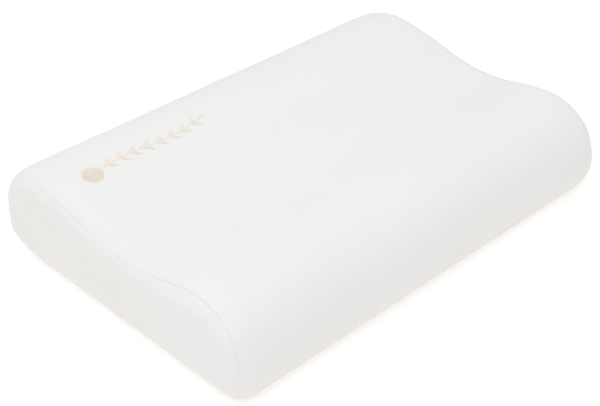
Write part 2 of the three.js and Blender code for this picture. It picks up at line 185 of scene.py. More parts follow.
class PillowSprig(bpy.types.PropertyGroup):
    """The embroidered sprig."""

    length: length_property("Stem", "Length of the stem", 160 * MM)
    sway: length_property("Sway", "How far the stem swings", 4 * MM)
    rise: length_property("Rise", "How much nearer the crest the tip is", 9 * MM)
    stem_width: length_property("Stem width", "Width of the stem", 1.8 * MM)
    leaf_length: length_property("Leaf length", "Length of a leaf", 15 * MM)
    leaf_width: length_property("Leaf width", "Width of a leaf", 5 * MM)
    bud: length_property("Bud", "Radius of the bud", 12.5 * MM)
    from_crest: length_property("From crest", "In front of the back crest", 32 * MM)
    spacing: length_property("Spacing", "Distance between satin stitches", 0.5 * MM)
    thread: length_property("Thread", "Radius of the embroidery thread", 0.27 * MM)
    pairs: count_property("Pairs", "Pairs of leaves", 8)
    bud_colour: colour_property("Bud thread", "Colour of the bud", (0.83, 0.75, 0.655))
    leaf_colour: colour_property("Leaf thread", "Colour of the stem and leaves", (0.87, 0.82, 0.755))


class PillowStage(bpy.types.PropertyGroup):
    """The floor, the light and the camera."""

    distance: length_property("Camera distance", "From the camera to its target", 1.5504)
    azimuth: angle_property("Azimuth", "Place of the camera round the pillow, from the front", -44.671)
    elevation: angle_property("Elevation", "Height of the camera above the horizon", 33.135)
    lens: amount_property("Lens", "Focal length in millimetres on a 36 mm sensor", 78.0)
    sky: amount_property("Sky", "Strength of the even light", 0.72)
    horizon: colour_property("Horizon", "Tint of the even light from the sides", (0.96, 0.885, 0.812))
    softbox: amount_property("Softbox", "Power of the overhead light in watts", 36.0)
    floor: colour_property("Floor", "Colour of the floor", (0.7, 0.69, 0.68))
    floor_glow: amount_property("Floor glow", "How brightly the table under the floor shines", 0.42)
    aim_right: angle_property("Aim", "Turn of the camera about its upright", 0.479)
    aim_up: angle_property("Tilt", "Tilt of the camera up from its target", -1.017)


# ---- The pillow's shape --------------------------------------------------------------------------------

STRETCHES = 8  # front foot, front face, two slopes, back crest, band, back foot and underside


def superellipse(y, z, reach, rise, start, end, t, squareness):
    """A rounding about a centre, from one angle to another."""
    angle = start + (end - start) * t
    across, up = np.cos(angle), np.sin(angle)
    power = 2 / squareness
    across = np.sign(across) * np.abs(across) ** power
    up = np.sign(up) * np.abs(up) ** power
    return np.stack([y + reach * across, z + rise * up], -1)


def swell(low, high, t):
    """A slope that is level at both ends."""
    return low + (high - low) * (1 - np.cos(np.pi * t)) / 2


class Section:
    """The outline in Y and Z. A station is the number of a stretch plus the share of the way along it."""

    def __init__(self, shape):
        self.shape = shape
        self.front, self.back = -WIDTH / 2, WIDTH / 2
        self.front_crest = self.front + shape.front_crest
        self.valley = self.front + shape.valley_place
        self.back_crest = self.back - shape.back_crest

    def stretch(self, index, inset, t):
        s, half = self.shape, math.pi / 2
        if index == 0:
            y, z = self.front + s.foot_reach, s.foot_rise
            reach, rise = s.foot_reach - inset, s.foot_rise - inset
            return superellipse(y, z, reach, rise, -half, -2 * half, t, s.squareness)
        if index == 1:
            reach, rise = s.front_crest - inset, s.front_lobe - s.foot_rise - inset
            return superellipse(self.front_crest, s.foot_rise, reach, rise, 2 * half, half, t, s.squareness)
        if index == 2:
            y = self.front_crest + (self.valley - self.front_crest) * t
            return np.stack([y, swell(s.front_lobe, s.valley, t) - inset], -1)
        if index == 3:
            y = self.valley + (self.back_crest - self.valley) * t
            return np.stack([y, swell(s.valley, s.back_lobe, t) - inset], -1)
        if index == 4:
            reach, rise = s.back_crest - inset, s.back_lobe - s.band_top - inset
            return superellipse(self.back_crest, s.band_top, reach, rise, half, 0, t, 2)
        if index == 5:
            z = s.band_top + (s.band_bottom - s.band_top) * t
            return np.stack([np.full_like(t, self.back - inset), z], -1)
        if index == 6:
            y, reach, rise = self.back - s.back_foot, s.back_foot - inset, s.band_bottom - inset
            return superellipse(y, s.band_bottom, reach, rise, 0, -half, t, 2)
        ends = self.back - s.back_foot, self.front + s.foot_reach
        return np.stack([ends[0] + (ends[1] - ends[0]) * t, np.full_like(t, inset)], -1)

    def points(self, inset, stations):
        inset = np.broadcast_to(inset, stations.shape)
        out = np.zeros((len(stations), 2))
        for index in range(STRETCHES):
            here = np.floor(stations).astype(int) % STRETCHES == index
            if here.any():
                out[here] = self.stretch(index, inset[here], stations[here] - np.floor(stations[here]))
        return out

    def measured(self):
        """Closely spaced stations and the distance round the outline to each."""
        dense = np.linspace(0, STRETCHES, STRETCHES * 80 + 1)
        points = self.points(0, dense % STRETCHES)
        return dense, np.concatenate([[0], np.cumsum(np.linalg.norm(np.diff(points, axis=0), axis=1))])

    def stations(self, spacing, extra=()):
        """Stations evenly spaced round the outline, with some extra ones."""
        dense, run = self.measured()
        count = int(round(run[-1] / spacing))
        even = np.interp(np.linspace(0, run[-1], count, endpoint=False), run, dense)
        extra = np.array(sorted(extra))
        if len(extra):
            near = np.abs(even[:, None] - extra).min(1)
            even = even[near > 0.3 * STRETCHES / count]
        return np.sort(np.concatenate([even, extra]))

    def run(self, stations):
        """Distance round the outline at each station."""
        return np.interp(stations, *self.measured())

    def girth(self):
        """The distance once round the outline."""
        return float(self.run(np.array([STRETCHES - 1e-6]))[0])


def end_column(shape, side, depth, angle, sink=0.0):
    """The X and the inset of a ring round an end's rounding, at an angle from the end face."""
    round_off = shape.end_round - depth - sink
    x = side * (LENGTH / 2 - depth - sink - round_off * (1 - np.cos(angle)))
    return x, depth + sink + round_off * (1 - np.sin(angle))


def both_ends(left, between=()):
    """Columns from one end to the other: the left end's, those between, and the left end's mirrored."""
    return left + list(between) + [(-x, inset) for x, inset in reversed(left)]


def ring_points(section, stations, column):
    """One ring round the pillow, at a column's X and inset."""
    x, inset = column
    flat = section.points(inset, stations)
    return np.column_stack([np.broadcast_to(x, len(flat)), flat])


def distance_over(rings):
    """How far each point lies from the first ring, over the rings between."""
    steps = [np.linalg.norm(b - a, axis=1) for a, b in zip(rings, rings[1:])]
    return np.concatenate([np.zeros((1, len(rings[0]))), np.cumsum(steps, axis=0)])


# ---- Meshes --------------------------------------------------------------------------------------------

def new_object(name, mesh, *materials):
    piece = bpy.data.objects.new(name, mesh)
    bpy.context.scene.collection.objects.link(piece)
    for material in materials:
        mesh.materials.append(material)
    return piece


def evaluated(piece):
    """The piece with its modifiers in force."""
    return piece.evaluated_get(bpy.context.evaluated_depsgraph_get())


def mesh_of(name, points, faces, uvs=None):
    """A smooth mesh with crisp rims; uvs, if given, hold one pair for each point in metres."""
    mesh = bpy.data.meshes.new(name)
    mesh.from_pydata([tuple(p) for p in points], [], [tuple(f) for f in faces])
    mesh.shade_smooth()
    mesh.set_sharp_from_angle(angle=math.radians(55))
    if uvs is not None:
        layer = mesh.uv_layers.new(name="cloth")
        loops = np.zeros(len(mesh.loops), np.int32)
        mesh.loops.foreach_get("vertex_index", loops)
        layer.data.foreach_set("uv", np.asarray(uvs, np.float32)[loops].ravel())
    return mesh


def loft_faces(rows, count, closed_rows=False, closed=True):
    """Quads between rows of points: `count` points in each row, which close on themselves."""
    faces = []
    for i in range(rows if closed_rows else rows - 1):
        a, b = i * count, ((i + 1) % rows) * count
        for j in range(count if closed else count - 1):
            k = (j + 1) % count
            faces.append((a + j, b + j, b + k, a + k))
    return faces


def skin(section, stations, columns, pole_rows=0):
    """A closed skin: rings at the columns, and each end filled with ever smaller rings about its middle."""
    rings = [ring_points(section, stations, column) for column in columns]
    middle = np.array([0, 0, section.shape.band_bottom + 13 * MM])

    def shrunk(ring, share):
        centre = np.array([ring[0][0], middle[1], middle[2]])
        return centre + (ring - centre) * share

    fills = [1 - (i + 1) / (pole_rows + 1) for i in range(pole_rows)]
    rings = [shrunk(rings[0], f) for f in reversed(fills)] + rings + [shrunk(rings[-1], f) for f in fills]
    count, rows = len(stations), len(rings)
    points = list(np.concatenate(rings))
    faces = loft_faces(rows, count)
    for side, row in ((0, 0), (1, rows - 1)):
        points.append(np.array([points[row * count][0], middle[1], middle[2]]))
        pole = len(points) - 1
        for j in range(count):
            a, b = row * count + j, row * count + (j + 1) % count
            faces.append((pole, b, a)[::-1] if side == 0 else (pole, b, a))
    return np.array(points), faces


def facing(points, faces, place, direction):
    """The faces, turned over if the normal at one of the points runs against a direction."""
    if point_normals(points, faces)[place] @ np.array(direction) < 0:
        return [tuple(reversed(face)) for face in faces]
    return faces


def thicken(points, faces, uvs, thickness):
    """A shell: the faces, the same faces this far behind them, and a rim wherever they end."""
    points = np.asarray(points, float)
    normals = point_normals(points, faces)
    count = len(points)
    shell = np.concatenate([points, points - normals * thickness])
    edges = {}
    for face in faces:
        for a, b in zip(face, face[1:] + face[:1]):
            edges[(a, b)] = True
    rim = [(b, a, a + count, b + count) for a, b in edges if (b, a) not in edges]
    inner = [tuple(v + count for v in reversed(face)) for face in faces]
    return shell, [tuple(f) for f in faces] + inner + rim, np.concatenate([uvs, uvs])


def cloth_piece(name, points, faces, uvs, thickness, material):
    """A piece of cloth: a surface made thick."""
    return new_object(name, mesh_of(name, *thicken(points, faces, uvs, thickness)), material)


def point_normals(points, faces):
    """The mean normal at each point, weighted by the areas of its faces."""
    normals = np.zeros_like(points)
    for size in (3, 4):
        group = np.array([f for f in faces if len(f) == size])
        if not len(group):
            continue
        corners = points[group]
        if size == 3:
            flat = np.cross(corners[:, 1] - corners[:, 0], corners[:, 2] - corners[:, 0])
        else:
            flat = np.cross(corners[:, 2] - corners[:, 0], corners[:, 3] - corners[:, 1])
        for i in range(size):
            np.add.at(normals, group[:, i], flat)
    return normals / np.maximum(np.linalg.norm(normals, axis=1, keepdims=True), 1e-12)


def cut_out(points, faces, uvs):
    """Drops the points that no face uses."""
    used = np.unique(np.concatenate([np.array(f) for f in faces]))
    place = np.full(len(points), -1)
    place[used] = np.arange(len(used))
    faces = [tuple(int(place[v]) for v in f) for f in faces]
    return points[used], faces, uvs[used]


def smooth_noise(values, seed, wavelength):
    """A repeatable wavy line of about this wavelength, between -1 and 1."""
    generator = np.random.default_rng(seed)
    out = np.zeros(len(values))
    for share in (1.0, 0.62, 1.7):
        phase = generator.uniform(0, 2 * math.pi)
        out += np.sin(2 * math.pi * values / (wavelength * share) + phase) / 3
    return out


def surface_of(name):
    """A piece's surface, to lay stitches on."""
    return BVHTree.FromObject(bpy.data.objects[name], bpy.context.evaluated_depsgraph_get())


def finish_piece(piece, body, slot, *nodes):
    """Puts a piece on its body and hides the nodes whose place it takes; the slot is not used."""
    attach(piece, body)
    if nodes:
        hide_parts(*nodes)
    return piece


# ---- Shader and geometry graphs ------------------------------------------------------------------------

class Wire:
    """A socket in a shader graph, so that shader maths reads as arithmetic."""

    def __init__(self, graph, socket):
        self.graph, self.socket = graph, socket

    def maths(self, operation, *others):
        inputs = dict(enumerate((self, *others)))
        return self.graph.add("ShaderNodeMath", inputs, operation=operation)[0]

    def __add__(self, other):
        return self.maths("ADD", other)

    __radd__ = __add__

    def __mul__(self, other):
        return self.maths("MULTIPLY", other)

    __rmul__ = __mul__

    def __sub__(self, other):
        return self.maths("SUBTRACT", other)

    def __rsub__(self, other):
        return self.graph.add("ShaderNodeMath", {0: other, 1: self}, operation="SUBTRACT")[0]

    def __truediv__(self, other):
        return self.maths("DIVIDE", other)

    def __pow__(self, other):
        return self.maths("POWER", other)

    def fraction(self):
        return self.maths("FRACT")

    def size(self):
        return self.maths("ABSOLUTE")

    def sine(self):
        return self.maths("SINE")

    def ramp(self, low, high):
        """0 below one value and 1 above another, with a soft step between."""
        inputs = {"Value": self, "From Min": low, "From Max": high}
        return self.graph.add("ShaderNodeMapRange", inputs, interpolation_type="SMOOTHSTEP")[0]

    def wave(self, length):
        """A wave between 0 and 1 that repeats at this length."""
        return (self * (2 * math.pi / length)).sine() * 0.5 + 0.5


class Placed:
    """A node in a graph; its outputs are picked by name or number."""

    def __init__(self, graph, node):
        self.graph, self.node = graph, node

    def __getitem__(self, key):
        return Wire(self.graph, self.node.outputs[key])


class Graph:
    """Adds nodes to a tree by type, inputs and settings."""

    def __init__(self, tree):
        self.tree = tree

    def add(self, kind, inputs=None, **settings):
        node = self.tree.nodes.new(kind)
        for key, value in settings.items():
            setattr(node, key, value)
        for key, value in (inputs or {}).items():
            self.feed(node.inputs[key], value)
        return Placed(self, node)

    def feed(self, socket, value):
        """Links a wire to a socket, or sets its value."""
        if isinstance(value, Wire):
            self.tree.links.new(value.socket, socket)
        else:
            socket.default_value = (*value, 1) if socket.type == "RGBA" else value

    def mix_colour(self, amount, low, high, blend="MIX"):
        """A colour between two others; the socket numbers are those of a colour mix."""
        inputs = {0: amount, 6: low, 7: high}
        return self.add("ShaderNodeMix", inputs, data_type="RGBA", blend_type=blend)[2]

    def place(self):
        """A point's place on its object."""
        return self.add("ShaderNodeTexCoord")["Object"]

    def parts(self, vector):
        return self.add("ShaderNodeSeparateXYZ", {0: vector})

    def cloth(self):
        """A point's place on the flat cloth, in metres."""
        return self.parts(self.add("ShaderNodeUVMap", uv_map="cloth")[0])

    def noise(self, vector, scale, detail=3.0, roughness=0.5):
        inputs = {"Vector": vector, "Scale": scale, "Detail": detail, "Roughness": roughness}
        return self.add("ShaderNodeTexNoise", inputs)[0]

    def bump(self, height, strength, distance, normal=None):
        inputs = {"Height": height, "Strength": strength, "Distance": distance}
        if normal is not None:
            inputs["Normal"] = normal
        return self.add("ShaderNodeBump", inputs)[0]


def shade(colour, factor):
    """A colour made darker or lighter."""
    return tuple(min(1.0, c * factor) for c in colour)


def new_material(name, build, sheen=0.0, specular=0.5, subsurface=0.0):
    """A material whose build function returns what feeds the shader's varying sockets."""
    material = bpy.data.materials.get(name)
    if material:
        return material
    material = bpy.data.materials.new(name)
    material.use_nodes = True
    shader = material.node_tree.nodes["Principled BSDF"]
    graph = Graph(material.node_tree)
    feeds = {
        "Sheen Weight": sheen,
        "Sheen Roughness": 0.5,
        "Specular IOR Level": specular,
        "Subsurface Weight": subsurface,
        **build(graph),
    }
    for key, value in feeds.items():
        graph.feed(shader.inputs[key], value)
    return material


def knit_material(name, colour, wale, course, depth=0.16 * MM):
    """Stocking stitch: columns of nested V loops with painted shade in the grooves between them, a soft
    halo of fibres and faint unevenness.
    """

    def build(g):
        split = g.cloth()
        across, along = split[0] / wale, split[1] / course
        leg = (across.fraction() - 0.5).size() * 2
        column = (1 - leg) * leg * 4
        loops = (along + leg * 0.8).fraction()
        strand = (loops - 0.5).size() * 2
        height = column.ramp(0, 1) * (1 - strand.ramp(0.35, 1.0) * 0.8)
        place = g.place()
        fibres = g.noise(place, 2600.0, 2.0)
        cloud = g.noise(place, 9.0, 4.0)
        patch = g.noise(place, 45.0, 3.0)
        # Painted shade: the colour is darker in the grooves between the loops and lighter on the loops.
        painted_groove_shade = g.mix_colour(height, shade(colour, 0.93), shade(colour, 1.03))
        tone = g.mix_colour(cloud.ramp(0.3, 0.7) * 0.5, (1, 1, 1), (0.985, 0.98, 0.97))
        both = g.mix_colour(1.0, painted_groove_shade, tone, "MULTIPLY")
        soft = g.bump(patch, 0.08, 1.2 * MM)
        fine = g.bump(height + fibres * 0.35, 0.4, depth, soft)
        return {"Base Color": both, "Roughness": 0.82 + 0.1 * patch, "Normal": fine}

    return new_material(name, build, sheen=0.25, specular=0.25)


def foam_material():
    """Cream foam with open cells, painted darker in their hollows as painted shade."""

    def build(g):
        place = g.place()
        cells = g.add("ShaderNodeTexVoronoi", {"Vector": place, "Scale": 900.0})["Distance"]
        cloud = g.noise(place, 14.0, 4.0)
        colour = g.mix_colour(cloud.ramp(0.25, 0.75), (0.86, 0.78, 0.62), (0.92, 0.86, 0.72))
        return {
            # Painted shade: the colour darkens towards the middle of each cell, where the bump sinks it.
            "Base Color": g.mix_colour(cells.ramp(0.0, 0.5), (0.7, 0.62, 0.48), colour),
            "Roughness": 0.88 + 0.1 * cloud,
            "Normal": g.bump(cells, 0.6, 0.5 * MM),
        }

    return new_material("open_cell_foam", build, specular=0.2, subsurface=0.05)


def weave_material(name, colour):
    """A plain weave, over and under, from the piece's own place in space, with painted shade where the
    threads dip under.
    """

    def build(g):
        place = g.place()
        split = g.parts(place)
        pitch = 0.6 * MM
        across = split[0] * (math.pi / pitch)
        along = split[2] * (math.pi / pitch)
        warp = across.sine() * along.maths("COSINE")
        cloud = g.noise(place, 60.0, 3.0)
        height = warp * 0.5 + 0.5
        return {
            # Painted shade: darker where the threads dip under, lighter where they ride over.
            "Base Color": g.mix_colour(height, shade(colour, 0.86), shade(colour, 1.03)),
            "Roughness": 0.7 + 0.2 * cloud,
            "Normal": g.bump(height, 0.6, 0.15 * MM),
        }

    return new_material(name, build, sheen=0.1, specular=0.3)


def satin_material(name, colour):
    """Long floats of bright yarn, caught down here and there, with painted shade between the ribs."""

    def build(g):
        split = g.cloth()
        ribs = split[0].wave(0.35 * MM)
        cloud = g.noise(g.place(), 140.0, 3.0)
        return {
            # Painted shade: darker in the grooves between the ribs, lighter on them.
            "Base Color": g.mix_colour(ribs, shade(colour, 0.93), shade(colour, 1.03)),
            "Roughness": 0.34 + 0.2 * cloud,
            "Normal": g.bump(ribs, 0.4, 0.08 * MM),
        }

    return new_material(name, build, sheen=0.1)


def nylon_material(colour):
    """Drawn nylon wire."""

    def build(g):
        place = g.place()
        cloud = g.noise(place, 300.0, 3.0)
        return {
            "Base Color": g.mix_colour(cloud, shade(colour, 0.95), shade(colour, 1.05)),
            "Roughness": 0.28 + 0.18 * cloud,
            "Normal": g.bump(cloud, 0.15, 0.05 * MM),
        }

    return new_material("zip_nylon_monofilament", build, subsurface=0.1)


def enamel_material(colour):
    """Sprayed paint over a small casting, a little dulled at its edges."""

    def build(g):
        place = g.place()
        peel = g.noise(place, 2200.0, 2.0)
        edge = g.add("ShaderNodeNewGeometry")["Pointiness"]
        scuffs = g.noise(place, 500.0, 5.0, 0.7)
        worn = edge.ramp(0.56, 0.68) * scuffs.ramp(0.5, 0.66)
        return {
            "Base Color": g.mix_colour(worn * 0.3, colour, (0.66, 0.65, 0.64)),
            "Metallic": worn * 0.3,
            "Roughness": 0.3 + scuffs * 0.15,
            "Normal": g.bump(peel, 0.2, 0.04 * MM),
        }

    return new_material("zip_enamelled_casting", build)


def thread_material(name, colour):
    """Twisted, faintly shiny thread."""

    def build(g):
        place = g.place()
        split = g.parts(place)
        strands = (split[0] + split[1] + split[2]).wave(0.9 * MM)
        cloud = g.noise(place, 120.0, 3.0)
        tone = g.mix_colour(cloud, shade(colour, 0.92), shade(colour, 1.08))
        return {
            "Base Color": g.mix_colour(strands * 0.3, tone, shade(colour, 0.8)),
            "Roughness": 0.38 + 0.2 * cloud,
            "Normal": g.bump(strands, 0.4, 0.06 * MM),
        }

    return new_material(name, build, sheen=0.2)


def sewing_thread(size):
    """The thread that sews the cover and the label, in the zip's colour."""
    return thread_material("sewing_thread", tuple(size.colour))


def embroidery_material(bud, leaves, join):
    """Bright embroidery thread: one shade for the bud, which ends at x = join, and one for the rest."""

    def build(g):
        place = g.place()
        split = g.parts(place)
        tone = g.mix_colour(split[0].ramp(join - 0.5 * MM, join + 0.5 * MM), bud, leaves)
        strands = g.noise(place, 1900.0, 2.0).ramp(0.35, 0.65)
        cloud = g.noise(place, 150.0, 3.0)
        return {
            "Base Color": g.mix_colour(strands * 0.25, tone, shade(bud, 0.82)),
            "Roughness": 0.34 + 0.2 * cloud,
            "Normal": g.bump(strands, 0.3, 0.05 * MM),
        }

    return new_material("embroidery_silk", build, sheen=0.3)


def floor_material(colour, glow):
    """A translucent white sheet, lit a little from below."""

    def build(g):
        place = g.place()
        cloud = g.noise(place, 3.0, 3.0)
        return {
            "Base Color": g.mix_colour(cloud, shade(colour, 0.995), shade(colour, 1.005)),
            "Roughness": 0.9 + 0.05 * cloud,
            "Emission Color": (1.0, 0.98, 0.96),
            "Emission Strength": glow,
        }

    return new_material("pale_floor", build, specular=0.0)


def new_tree(name, **inputs):
    """A geometry tree with these inputs, a name and a kind for each, and its graph."""
    tree = bpy.data.node_groups.new(name, "GeometryNodeTree")
    tree.interface.new_socket(name="Geometry", in_out="OUTPUT", socket_type="NodeSocketGeometry")
    for label, kind in {"Geometry": "Geometry", **inputs}.items():
        tree.interface.new_socket(name=label, in_out="INPUT", socket_type="NodeSocket" + kind)
    graph = Graph(tree)
    return tree, graph, graph.add("NodeGroupInput")


def close_tree(graph, geometry, given):
    """Ends a tree: real copies, merged where they meet, with their material."""
    solid = graph.add("GeometryNodeRealizeInstances", {0: geometry})[0]
    merged = graph.add("GeometryNodeMergeByDistance", {"Geometry": solid, "Distance": 0.00001})[0]
    smooth = graph.add("GeometryNodeSetShadeSmooth", {"Geometry": merged})[0]
    inputs = {"Geometry": smooth, "Material": given["Material"]}
    finished = graph.add("GeometryNodeSetMaterial", inputs)[0]
    graph.add("NodeGroupOutput", {0: finished})


def tree_result(name, path, tree, values):
    """Runs a tree on a mesh and returns a plain mesh object."""
    holder = new_object(name + "_path", path)
    modifier = holder.modifiers.new("rule", "NODES")
    modifier.node_group = tree
    for item in tree.interface.items_tree:
        if item.item_type == "SOCKET" and item.in_out == "INPUT" and item.name in values:
            modifier[item.identifier] = values[item.name]
    mesh = bpy.data.meshes.new_from_object(evaluated(holder))
    bpy.data.objects.remove(holder)
    mesh.name = name
    piece = new_object(name, mesh)
    if not mesh.materials:
        mesh.materials.append(values["Material"])
    return piece


def tube_along(graph, curve, radius, sides):
    """A capped tube round a curve."""
    circle = {"Resolution": sides, "Radius": radius}
    section = graph.add("GeometryNodeCurvePrimitiveCircle", circle)[0]
    inputs = {"Curve": curve, "Profile Curve": section, "Fill Caps": True}
    return graph.add("GeometryNodeCurveToMesh", inputs)[0]


def stitch_tree():
    """Each edge of the path becomes one stitch: a thin thread that arches off the cloth."""
    tree, g, given = new_tree(
        "arched_stitches", Radius="Float", Arch="Float", Up="Vector", Material="Material"
    )
    curve = g.add("GeometryNodeMeshToCurve", {"Mesh": given["Geometry"]})[0]
    fine = g.add("GeometryNodeResampleCurve", {"Curve": curve, "Count": 6})[0]
    place = g.add("GeometryNodeSplineParameter")["Factor"]
    lift = place * (1 - place) * 4 * given["Arch"]
    offset = g.add("ShaderNodeVectorMath", {0: given["Up"], "Scale": lift}, operation="SCALE")[0]
    raised = g.add("GeometryNodeSetPosition", {"Geometry": fine, "Offset": offset})[0]
    close_tree(g, tube_along(g, raised, given["Radius"], 5), given)
    return tree


def coil_tree():
    """A flattened spring of round wire, wound along X from a starting point."""
    tree, g, given = new_tree(
        "wound_coil", Turns="Float", Length="Float", Section="Vector", Start="Vector", Radius="Float",
        Material="Material",
    )
    winding = {
        "Resolution": 10,
        "Rotations": given["Turns"],
        "Start Radius": 1.0,
        "End Radius": 1.0,
        "Height": given["Length"],
    }
    spring = g.add("GeometryNodeCurveSpiral", winding)[0]
    flat = g.add("GeometryNodeTransform", {"Geometry": spring, "Scale": given["Section"]})[0]
    turned = {"Geometry": flat, "Rotation": (0.0, math.pi / 2, 0.0), "Translation": given["Start"]}
    laid = g.add("GeometryNodeTransform", turned)[0]
    close_tree(g, tube_along(g, laid, given["Radius"], 4), given)
    return tree


def shared_tree(name, build):
    """The tree of this name, built when it is first asked for."""
    return bpy.data.node_groups.get(name) or build()


def stitches(name, pairs, radius, arch, up, material):
    """Arched stitches between pairs of points, as one mesh."""
    points = np.asarray(pairs, float).reshape(-1, 3)
    path = path_mesh(name, points, [(i, i + 1) for i in range(0, len(points), 2)])
    tree = shared_tree("arched_stitches", stitch_tree)
    values = {"Radius": radius, "Arch": arch, "Up": up, "Material": material}
    return tree_result(name, path, tree, values)


def rounded_copy(node, name, width, material, body, slot):
    """A copy of a moulded or cast node with its edges broken, which takes the node's place."""
    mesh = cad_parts[node].data.copy()
    mesh.name = name
    mesh.materials.clear()
    form = bmesh.new()
    form.from_mesh(mesh)
    bmesh.ops.remove_doubles(form, verts=form.verts, dist=0.002 * MM)
    bmesh.ops.dissolve_limit(form, angle_limit=math.radians(1), verts=form.verts, edges=form.edges)
    form.to_mesh(mesh)
    form.free()
    piece = new_object(name, mesh, material)
    bevel = piece.modifiers.new("broken_edges", "BEVEL")
    bevel.width, bevel.segments, bevel.limit_method = width, 2, "ANGLE"
    bevel.angle_limit = math.radians(30)
    bevel.harden_normals = True
    mesh.shade_smooth()
    return finish_piece(piece, body, slot, node)


def path_mesh(name, points, edges):
    mesh = bpy.data.meshes.new(name)
    mesh.from_pydata([tuple(p) for p in points], edges, [])
    return mesh


# ---- The draped cover ----------------------------------------------------------------------------------

class Drape:
    """How far the simulated cloth moved from the plain shape, at any point of it."""

    def __init__(self, rest, moved, edges, limit, smoothing):
        self.rest = rest
        shift = moved - rest
        size = np.linalg.norm(shift, axis=1, keepdims=True)
        shift *= np.minimum(1, limit / np.maximum(size, 1e-9))
        for _ in range(smoothing):
            around = np.zeros_like(shift)
            count = np.zeros((len(shift), 1))
            for a, b in ((0, 1), (1, 0)):
                np.add.at(around, edges[:, a], shift[edges[:, b]])
                np.add.at(count, edges[:, a], 1)
            shift = 0.4 * shift + 0.6 * around / np.maximum(count, 1)
        self.shift = shift
        self.tree = KDTree(len(rest))
        for i, p in enumerate(rest):
            self.tree.insert(p, i)
        self.tree.balance()

    def at(self, points, reach=5 * MM):
        out = np.zeros_like(points)
        for i, p in enumerate(points):
            near = self.tree.find_n(p, 10)
            weights = np.array([math.exp(-((distance / reach) ** 2)) + 1e-6 for _, _, distance in near])
            out[i] = weights @ self.shift[[index for _, index, _ in near]] / weights.sum()
        return out


def loose_cloth(section, cloth):
    """A plain skin in even squares, held where it lies on the floor and drawn in along the end seams."""
    shape = section.shape
    ends = [end_column(shape, -1, 0, angle) for angle in np.linspace(0, math.pi / 2, 8)]
    straight = np.linspace(ends[-1][0], -ends[-1][0], 90)[1:-1]
    columns = both_ends(ends, [(x, 0.0) for x in straight])
    points, faces = skin(section, section.stations(cloth.sim_grid), columns, 6)
    loose = new_object("loose_cloth", mesh_of("loose_cloth", points, faces))
    remesh = loose.modifiers.new("even", "REMESH")
    remesh.mode, remesh.voxel_size = "VOXEL", cloth.sim_grid
    even = bpy.data.meshes.new_from_object(evaluated(loose))
    loose.modifiers.clear()
    loose.data = even
    seam_x = abs(end_column(shape, 1, 0, cloth.seam_angle)[0])
    drawn = loose.vertex_groups.new(name="drawn")
    held = loose.vertex_groups.new(name="held")
    for i, vertex in enumerate(even.vertices):
        drawn.add([i], math.exp(-(((abs(vertex.co.x) - seam_x) / (4 * MM)) ** 2)), "REPLACE")
        held.add([i], 1.0 if vertex.co.z < 1.5 * MM else 0.0, "REPLACE")
    return loose


def foam_form(section, cloth):
    """The foam, for the cloth to rest on."""
    left = [end_column(section.shape, -1, 1.5 * MM, angle) for angle in np.linspace(0, math.pi / 2, 5)]
    points, faces = skin(section, section.stations(2 * cloth.sim_grid), both_ends(left), 2)
    form = new_object("foam_form", mesh_of("foam_form", points, faces))
    form.modifiers.new("solid", "COLLISION")
    form.collision.thickness_outer = 0.5 * MM
    form.collision.cloth_friction = 8
    return form


def simulate_cover(section, cloth):
    """Drapes a slightly loose skin over the foam."""
    loose = loose_cloth(section, cloth)
    form = foam_form(section, cloth)
    rest = np.array([vertex.co for vertex in loose.data.vertices])
    edges = np.array([edge.vertices[:] for edge in loose.data.edges])
    modifier = loose.modifiers.new("cloth", "CLOTH")
    settings = modifier.settings
    settings.quality = 6
    settings.mass = 0.25
    settings.tension_stiffness = settings.compression_stiffness = 25
    settings.shear_stiffness = 8
    settings.bending_stiffness = 0.4
    settings.use_pressure = True
    settings.uniform_pressure_force = cloth.pressure
    settings.vertex_group_mass = "held"
    settings.vertex_group_shrink = "drawn"
    settings.shrink_min = -cloth.slack
    settings.shrink_max = cloth.seam_pull
    settings.effector_weights.gravity = 0.6
    modifier.collision_settings.distance_min = 0.8 * MM
    scene = bpy.context.scene
    scene.frame_end = cloth.frames
    for step in range(1, cloth.frames + 1):
        scene.frame_set(step)
    moved = np.array([vertex.co for vertex in evaluated(loose).data.vertices])
    scene.frame_set(1)
    bpy.data.objects.remove(loose)
    bpy.data.objects.remove(form)
    return Drape(rest, moved, edges, cloth.most_move, cloth.smoothing)


def eased(points, section, cloth):
    """How freely a point of the cover may move: not at all beside the zip or where it lies on the floor."""
    beside_zip = np.abs(points[:, 2] - ZIP_HEIGHT) - cloth.slot / 2
    at_back = section.back - points[:, 1]
    off_zip = np.clip(np.maximum(beside_zip, at_back * 1.5) / (14 * MM), 0, 1)
    off_floor = np.clip(points[:, 2] / FLOOR_FADE, 0, 1)
    return (off_zip * off_floor)[:, None]


def drape_points(points, section, cloth, drape):
    """Moves points as the drape did, and keeps them off the floor."""
    if drape is not None:
        points = points + drape.at(points) * eased(points, section, cloth)
    points[:, 2] = np.maximum(points[:, 2], 0)
    return points


def near_station(stations, place, reach):
    """1 at one place round the section, falling away to 0 past its reach."""
    return np.exp(-(((stations - place) / reach) ** 2))


def seam_angles(cloth, stations):
    """Where the end seam runs on the rounding: it climbs towards the top over the front lobe."""
    return cloth.seam_angle + cloth.seam_climb * near_station(stations, CLIMB_AT, CLIMB_REACH)


def seam_depths(cloth, stations):
    """How deep the end seam lies: it creases towards the foot of the front lobe."""
    return cloth.groove + cloth.foot_crease * near_station(stations, CREASE_AT, CREASE_REACH)


def seam_columns(shape, cloth, side, panel, stations):
    """Columns from the end seam's floor up its roll: panel is 1 on the end panel, -1 on the wrap."""
    columns = []
    for along, sink in reversed(SEAM_ROLL):
        angle = seam_angles(cloth, stations) - panel * along * MM / shape.end_round
        columns.append(end_column(shape, side, 0, angle, sink * seam_depths(cloth, stations)))
    return columns


